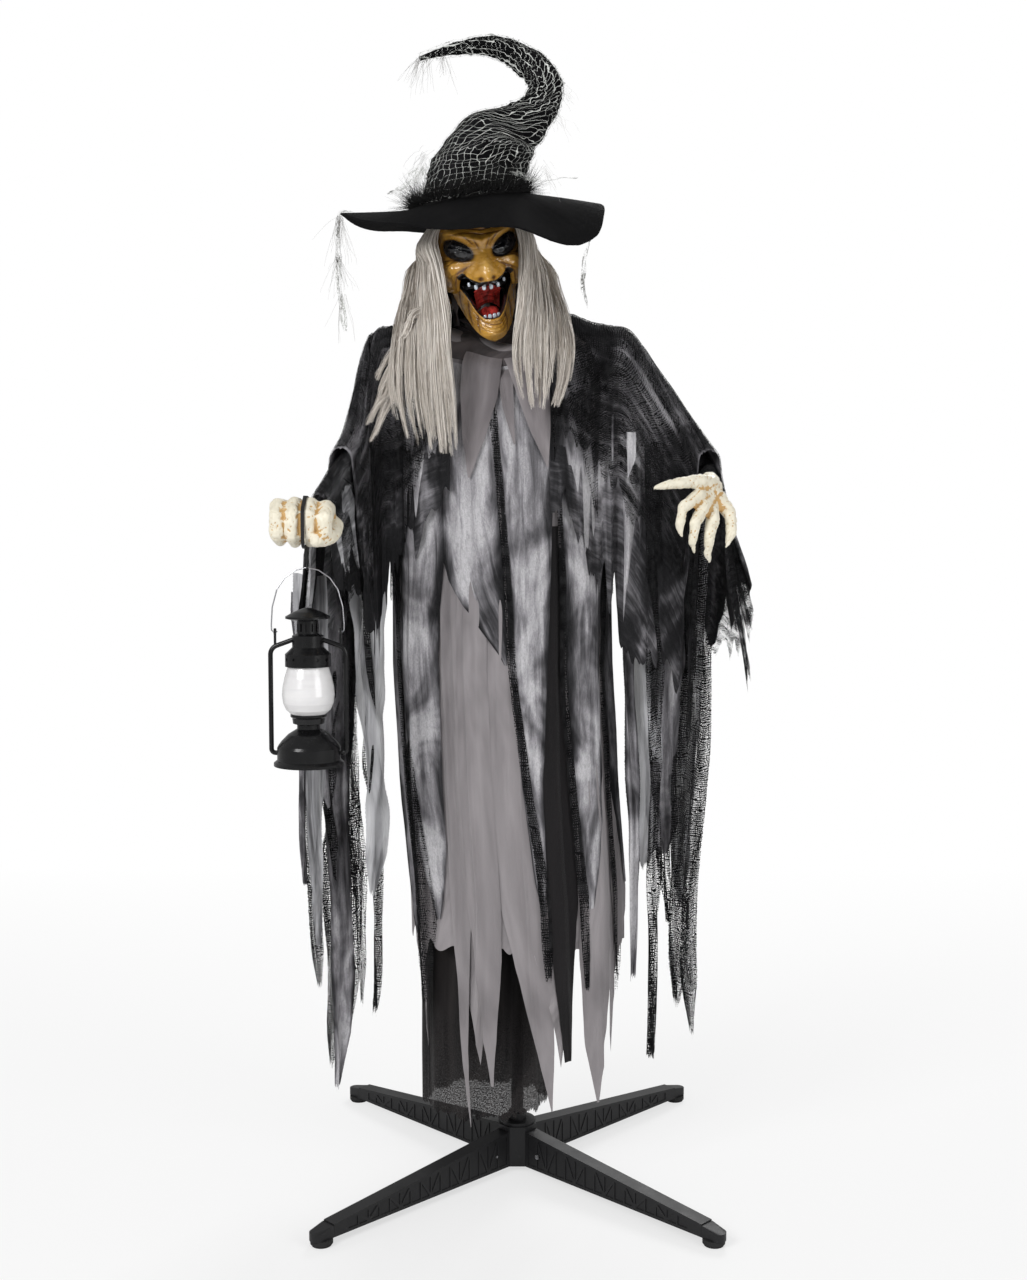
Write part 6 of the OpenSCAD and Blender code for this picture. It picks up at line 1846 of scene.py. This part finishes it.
def wisps(name, starts, aims, count, length, spread, sag, wide=0.45):
    """Loose threads from a few points: a straight start, noise to the side, then sag."""
    steps = 16
    pick = dice.integers(0, len(starts), count)
    base = np.array(starts, float)[pick] + dice.normal(size=(count, 3)) * spread
    aim = unit(np.array(aims, float)[pick] + dice.normal(size=(count, 3)) * 0.35)
    long_ = length * (0.35 + 0.65 * dice.random(count))
    t = np.linspace(0, 1, steps)[None, :, None]
    lines = base[:, None] + aim[:, None] * t * long_[:, None, None]
    lines[..., 2] -= sag * (t[..., 0] ** 2) * long_[:, None]
    k = np.arange(count)[:, None]
    tt = t[..., 0]
    for axis in range(3):
        lines[..., axis] += 6 * tt * noise(tt * 3 + k * 7.3, axis + 0.5, seed=33 + axis)
    width = np.broadcast_to(wide * (1 - tt * 0.6), (count, steps))
    facing = np.broadcast_to(np.array([0.8, 0.6, 0.0]), lines.shape)
    piece = ribbons(name, lines, width, facing)
    dress(piece, wisp_pale, "head")


wisps("wisps_tip", [[-154, 0, 1792], [-140, 1, 1794], [-118, 2, 1800]],
    [[-0.6, 0, -0.7], [-0.3, 0, -1], [0.1, 0, -1]], 60, 40, 3.0, 0.6)
wisps("wisps_crown", [[-140, -20, 1640], [-150, -40, 1610], [58, -10, 1700], [66, -6, 1740],
    [40, -60, 1610]], [[-1, -0.4, -0.4], [-1, -0.5, -0.8], [1, 0, -0.5], [1, 0, 0.2],
    [1, -0.4, -0.6]], 90, 26, 7.0, 0.8)
wisps("wisps_brim", [tip_left + [-4, -3, -10], tip_left + [-8, -5, -70], tip_left + [-2, -4, -130]],
    [[0, 0, -1], [0.1, 0, -1], [0, 0, -1]], 70, 60, 3.4, 0.3)
print("hat ready")

# %% [markdown]
# ## Hair
# Long straight grey hair hangs at both sides of the mask and down the back. Every
# strand is a ribbon about a millimetre wide. A strand belongs to a lock: near the
# scalp the strands lie side by side, and lower down they are drawn to the lock's
# middle, so that gaps open between locks. The falls are fixed in place and ride
# on no body.

# %% Hair falls
HAIR_MIDDLE = np.array([-50, 10, 0])


def egg(q, z, g):
    """The skull's ellipsoid, g millimetres outside: radii times the root of 1 - z squared."""
    r = np.sqrt(np.clip(1 - (z / (SKULL_H + g)) ** 2, 0.0004, 1))
    x, y = (SKULL_X + g) * r * sind(q), -(SKULL_Y + g) * r * cosd(q)
    return np.stack(np.broadcast_arrays(x, y, z), -1)


def fall(name, node, top_q, rows, count, locks, thick, seed, flare=1.0, short=0.0, puff=18):
    """Strands between two edges given by rows of points; across is 0 to 1."""
    rng = np.random.default_rng(seed)
    steps = 20
    lock = np.sort(rng.random(locks))
    mine = rng.integers(0, locks, count)
    across = lock[mine] + rng.normal(size=count) * 1.1 / locks
    deep = rng.random(count)
    lock_deep = rng.random(locks)[mine]
    lock_len = 1 - short * rng.random(locks)[mine] - 0.14 * rng.random(count) ** 1.6
    heads = []
    for z, g in ((86, 2), (64, puff * 0.4), (34, puff)):
        q = mix(top_q[0], top_q[1], across)
        heads.append(head_at(egg(q, z + 0 * q, 3 + g + (2 + g * 0.8) * deep)))
    pulled = mix(across, lock[mine], 0.1 + 0.4 * rng.random(count))
    lower = []
    n = len(rows)
    for i, (a, b) in enumerate(rows):
        a, b = np.array(a, float), np.array(b, float)
        away = unit(np.cross(b - a, [0.0, 0.0, 1.0]))
        e = smooth((i + 1) / n)
        pos = mix(across, pulled, e)[:, None]
        d = mix(deep, lock_deep * 0.55 + deep * 0.45, e)[:, None]
        lower.append(a + (b - a) * (0.5 + (pos - 0.5) * (1 + 0.12 * e * flare)) + away
            * (d * thick + 0.8))
    points = np.stack([*heads, *lower], 1)
    fine = 200
    lines = np.einsum("ts,nsk->ntk", curve_weights(points.shape[1], fine), points)
    t = np.linspace(0, 1, steps)[None, :] * lock_len[:, None]
    pick = t * (fine - 1)
    i0 = np.minimum(pick.astype(int), fine - 2)
    f = (pick - i0)[..., None]
    row = np.arange(count)[:, None]
    lines = lines[row, i0] * (1 - f) + lines[row, i0 + 1] * f
    grow = smooth(t * 1.5)[..., None]
    wave = np.stack([noise(t * 5 + mine[:, None] * 3.1, 0.5 + k, seed=seed + k) for k in range(3)],
        -1)
    own = np.stack([noise(t * 9 + row * 1.7, 0.5 + k, seed=seed + 5 + k) for k in range(3)], -1)
    lines = lines + grow * (wave * [4.0, 2.6, 1.0] + own * [2.6, 2.2, 0.8])
    width = 1.05 * (1 - 0.75 * smooth((np.linspace(0, 1, steps)[None, :] - 0.7) / 0.3)) + 0 * row
    ahead = unit(np.gradient(lines, axis=1))
    out = lines - HAIR_MIDDLE
    out[..., 2] = 0
    facing = unit(np.cross(ahead, unit(out) + rng.normal(size=(count, 1, 3)) * 0.5))
    piece = ribbons(name, lines, width, facing)
    wear(piece, hair_grey)
    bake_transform(piece)
    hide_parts(node)
    return piece


LEFT = [[[-163, 26, 1470], [-117, -94, 1462]], [[-172, 0, 1425], [-110, -116, 1420]],
    [[-180, -52, 1385], [-104, -128, 1375]], [[-188, -112, 1330], [-106, -138, 1320]],
    [[-190, -130, 1262], [-100, -147, 1245]], [[-172, -138, 1190], [-96, -149, 1164]]]
RIGHT = [[[2, -86, 1470], [44, 40, 1478]], [[0, -108, 1425], [60, 16, 1430]],
    [[-2, -124, 1385], [72, -40, 1385]], [[-2, -136, 1335], [80, -106, 1335]],
    [[2, -145, 1285], [76, -126, 1285]], [[12, -148, 1232], [62, -138, 1240]]]
BACK = [[[-8, 74, 1470], [-112, 70, 1464]], [[-4, 92, 1425], [-116, 88, 1420]],
    [[4, 118, 1385], [-122, 116, 1380]], [[6, 132, 1340], [-124, 130, 1336]],
    [[0, 142, 1285], [-114, 140, 1280]]]
fall("hair_fall_left", "hair_left", (-132, -56), LEFT, 2900, 70, 12, 501, 1.0, 0.12, 15)
fall("hair_fall_right", "hair_right", (50, 132), RIGHT, 2800, 66, 12, 502, 1.0, 0.2, 11)
fall("hair_fall_back", "hair_back", (114, 246), BACK, 2400, 64, 9, 503, 1.0, 0.12, 8)
# Behind the ears, where the side falls sweep forward and the back one lies behind.
EAR_LEFT = [[[-104, 74, 1470], [-162, 22, 1470]], [[-106, 92, 1425], [-170, 18, 1425]],
    [[-112, 112, 1385], [-172, 24, 1385]], [[-114, 128, 1350], [-170, 52, 1350]],
    [[-112, 138, 1300], [-160, 92, 1300]]]
EAR_RIGHT = [[[46, 36, 1470], [-14, 76, 1470]], [[60, 28, 1425], [-10, 92, 1425]],
    [[64, 36, 1385], [-2, 116, 1385]], [[60, 66, 1350], [0, 130, 1350]],
    [[48, 106, 1300], [-4, 140, 1300]]]
fall("hair_ear_left", "hair_left", (220, 268), EAR_LEFT, 1000, 26, 9, 504, 1.0, 0.16, 10)
fall("hair_ear_right", "hair_right", (92, 140), EAR_RIGHT, 1000, 26, 9, 506, 1.0, 0.16, 10)


def side_locks():
    """Locks that stray over the left shoulder, fanned out from one place."""
    rng = np.random.default_rng(504)
    locks, each, steps = 13, 34, 22
    k = np.arange(locks)
    start = np.stack([-146 - 2 * k, -84 - 1.0 * k, 1392 - 7.0 * k], -1)
    middle = start + np.stack([-22 - 1.5 * k % 9, -24 + 0 * k, -34 - 1.5 * k], -1)
    finish = middle + np.stack([-46 + 22 * rng.random(locks), 4 * rng.random(locks),
        -44 - 34 * rng.random(locks)], -1)
    keys = np.stack([start, (start + middle) / 2 + [-5, -4, 6], middle,
        (middle + finish) / 2 + [0, -6, 4], finish], 1)
    lines = np.einsum("ts,nsk->ntk", curve_weights(5, steps), keys)
    lines = np.repeat(lines, each, 0)
    n = len(lines)
    t = np.linspace(0, 1, steps)[None, :]
    row = np.arange(n)[:, None]
    spread = rng.normal(size=(n, 1, 3)) * (3.4 - 2.2 * t[..., None])
    own = np.stack([noise(t * 5 + row * 1.3, 0.5 + j, seed=530 + j) for j in range(3)], -1) * 2.4
    wave = np.stack([noise(t * 4 + (row // each) * 2.9, 0.5 + j, seed=540 + j) for j in range(3)],
        -1) * 5
    lines = lines + spread + (own + wave) * smooth(t * 2)[..., None]
    width = 0.95 * (1 - 0.7 * t) + 0 * row
    ahead = unit(np.gradient(lines, axis=1))
    facing = unit(np.cross(ahead, np.array([0.3, -1.0, 0.3]) + rng.normal(size=(n, 1, 3)) * 0.4))
    piece = ribbons("hair_strays", lines, width, facing)
    wear(piece, hair_grey)
    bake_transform(piece)


side_locks()


def scalp():
    """Short hair under the brim: a cap of strands laid down the skull."""
    rng = np.random.default_rng(505)
    count, steps = 1500, 8
    q = rng.random(count) * 360
    t = np.linspace(0, 1, steps)[None, :]
    z = 114 - (20 + 40 * rng.random(count)[:, None]) * t
    lines = head_at(egg(q[:, None] + 3 * np.sin(t * 5 + q[:, None]), np.minimum(z, 112.6),
        2.8 + 2.0 * rng.random(count)[:, None]))
    back = np.abs(apart(q)) < 62
    lines = lines[~back]
    width = np.full(lines.shape[:2], 1.6)
    ahead = unit(np.gradient(lines, axis=1) + [0, 0, -1e-6])
    facing = unit(np.cross(ahead, unit(lines - HEAD)))
    piece = ribbons("hair_scalp", lines, width, facing)
    dress(piece, hair_grey, "head", "hair_cap")


scalp()
print("hair ready")

# %% [markdown]
# ## Hands
# The real hands are soft moulded vinyl: bony knuckles, wrinkled skin and ochre
# paint that was wiped off the high places. The CAD solids have the fingers in the
# right pose, so each one's mesh is copied, drawn over with small voxels, evened,
# and then wrinkled along its normals. How hollow the skin is at a point steers
# the ochre paint.

# %% A skin drawn over a solid
def evened(values, pairs, count, rounds=1, share=0.5):
    """Average each point with its neighbours: values + share * (mean of neighbours - values)."""
    for _ in range(rounds):
        total = np.zeros_like(values)
        np.add.at(total, pairs[:, 0], values[pairs[:, 1]])
        np.add.at(total, pairs[:, 1], values[pairs[:, 0]])
        each = count if values.ndim == 1 else count[:, None]
        values = values + share * (total / each - values)
    return values


def skin_over(node, name, body, voxel, seed, axis, sinews=0.0, grow=0.0):
    """Skin = the solid in voxels, evened, then moved along its normal n by wrinkles.

    A wrinkle is a fold across the finger: -|noise| of a point squeezed along the
    finger's axis. crease = how far a point lies below the mean of its neighbourhood."""
    mesh = nodes[node].data.copy()
    loose = bmesh.new()
    loose.from_mesh(mesh)
    bmesh.ops.remove_doubles(loose, verts=loose.verts, dist=2e-6)
    loose.to_mesh(mesh)
    loose.free()
    spots, ways = np.empty(len(mesh.vertices) * 3), np.empty(len(mesh.vertices) * 3)
    mesh.vertices.foreach_get("co", spots)
    mesh.vertex_normals.foreach_get("vector", ways)
    mesh.vertices.foreach_set("co", spots + ways * grow)
    piece = bpy.data.objects.new(name, mesh)
    bpy.context.scene.collection.objects.link(piece)
    cells = piece.modifiers.new("cells", "REMESH")
    cells.mode = "VOXEL"
    cells.voxel_size = voxel
    graph = bpy.context.evaluated_depsgraph_get()
    drawn = bpy.data.meshes.new_from_object(piece.evaluated_get(graph))
    piece.modifiers.clear()
    piece.data = drawn
    drawn.name = name
    count = len(drawn.vertices)
    p = np.empty(count * 3, np.float32)
    drawn.vertices.foreach_get("co", p)
    p = p.reshape(-1, 3).astype(float)
    pairs = np.empty(len(drawn.edges) * 2, np.int32)
    drawn.edges.foreach_get("vertices", pairs)
    pairs = pairs.reshape(-1, 2)
    near = np.maximum(np.bincount(pairs.ravel(), minlength=count), 1)
    start = p.copy()
    p = evened(p, pairs, near, 7, 0.5)
    drawn.vertices.foreach_set("co", p.astype(np.float32).ravel())
    drawn.update()
    n = np.empty(count * 3, np.float32)
    drawn.vertices.foreach_get("normal", n)
    n = n.reshape(-1, 3).astype(float)
    along = unit(np.array(axis, float))
    q = p * 1000
    run = (q * along).sum(-1)
    side = q - run[:, None] * along
    fold = noise(run * 0.34, side[:, 0] * 0.07, side[:, 2] * 0.07 + seed, seed)
    fine = noise(run * 0.8, side[:, 0] * 0.3, side[:, 2] * 0.3 + seed, seed + 5)
    lump = noise(q[:, 0] * 0.09, q[:, 1] * 0.09, q[:, 2] * 0.09, seed + 9)
    sinew = noise(run * 0.02, side[:, 0] * 0.22, side[:, 2] * 0.22 + seed, seed + 13)
    groove = np.clip(1 - np.abs(fold) / 0.16, 0, 1) ** 2
    cleft = np.clip(1 - np.abs(sinew) / 0.2, 0, 1) ** 2 * sinews
    depth = 1.3 * lump - 1.5 * groove - 0.5 * np.abs(fine) - 1.2 * cleft
    p = p + n * depth[:, None] / 1000
    drawn.vertices.foreach_set("co", p.astype(np.float32).ravel())
    drawn.update()
    mean = evened(p, pairs, near, 14, 0.6)
    hollow = ((mean - p) * n).sum(-1) * 1000
    hollow = evened(hollow, pairs, near, 1, 0.5)
    crease = smooth((hollow - 0.04) / 0.34)
    crease = np.clip(crease * (0.75 + 0.5 * noise(q[:, 0] * 0.12, q[:, 1] * 0.12, q[:, 2] * 0.12,
        seed + 17)), 0, 1)
    mark = drawn.attributes.new("crease", "FLOAT", "POINT")
    mark.data.foreach_set("value", crease.astype(np.float32))
    drawn.polygons.foreach_set("use_smooth", np.ones(len(drawn.polygons), bool))
    dress(piece, hand_bone, body, node)
    print(name, "points", count, "moved at most", round(float(np.abs(p - start).max()) * 1000, 2),
        "mm, creased", round(float((crease > 0.5).mean()), 3))
    return piece


skin_over("fist", "fist_skin", "lantern_arm", 0.0017, 31, (0.1, 0.8, -0.6), 0.7, 0.0014)
skin_over("claw_hand", "claw_skin", "reaching_arm", 0.0016, 47, (0.6, 0.5, 0.6), 1.0)
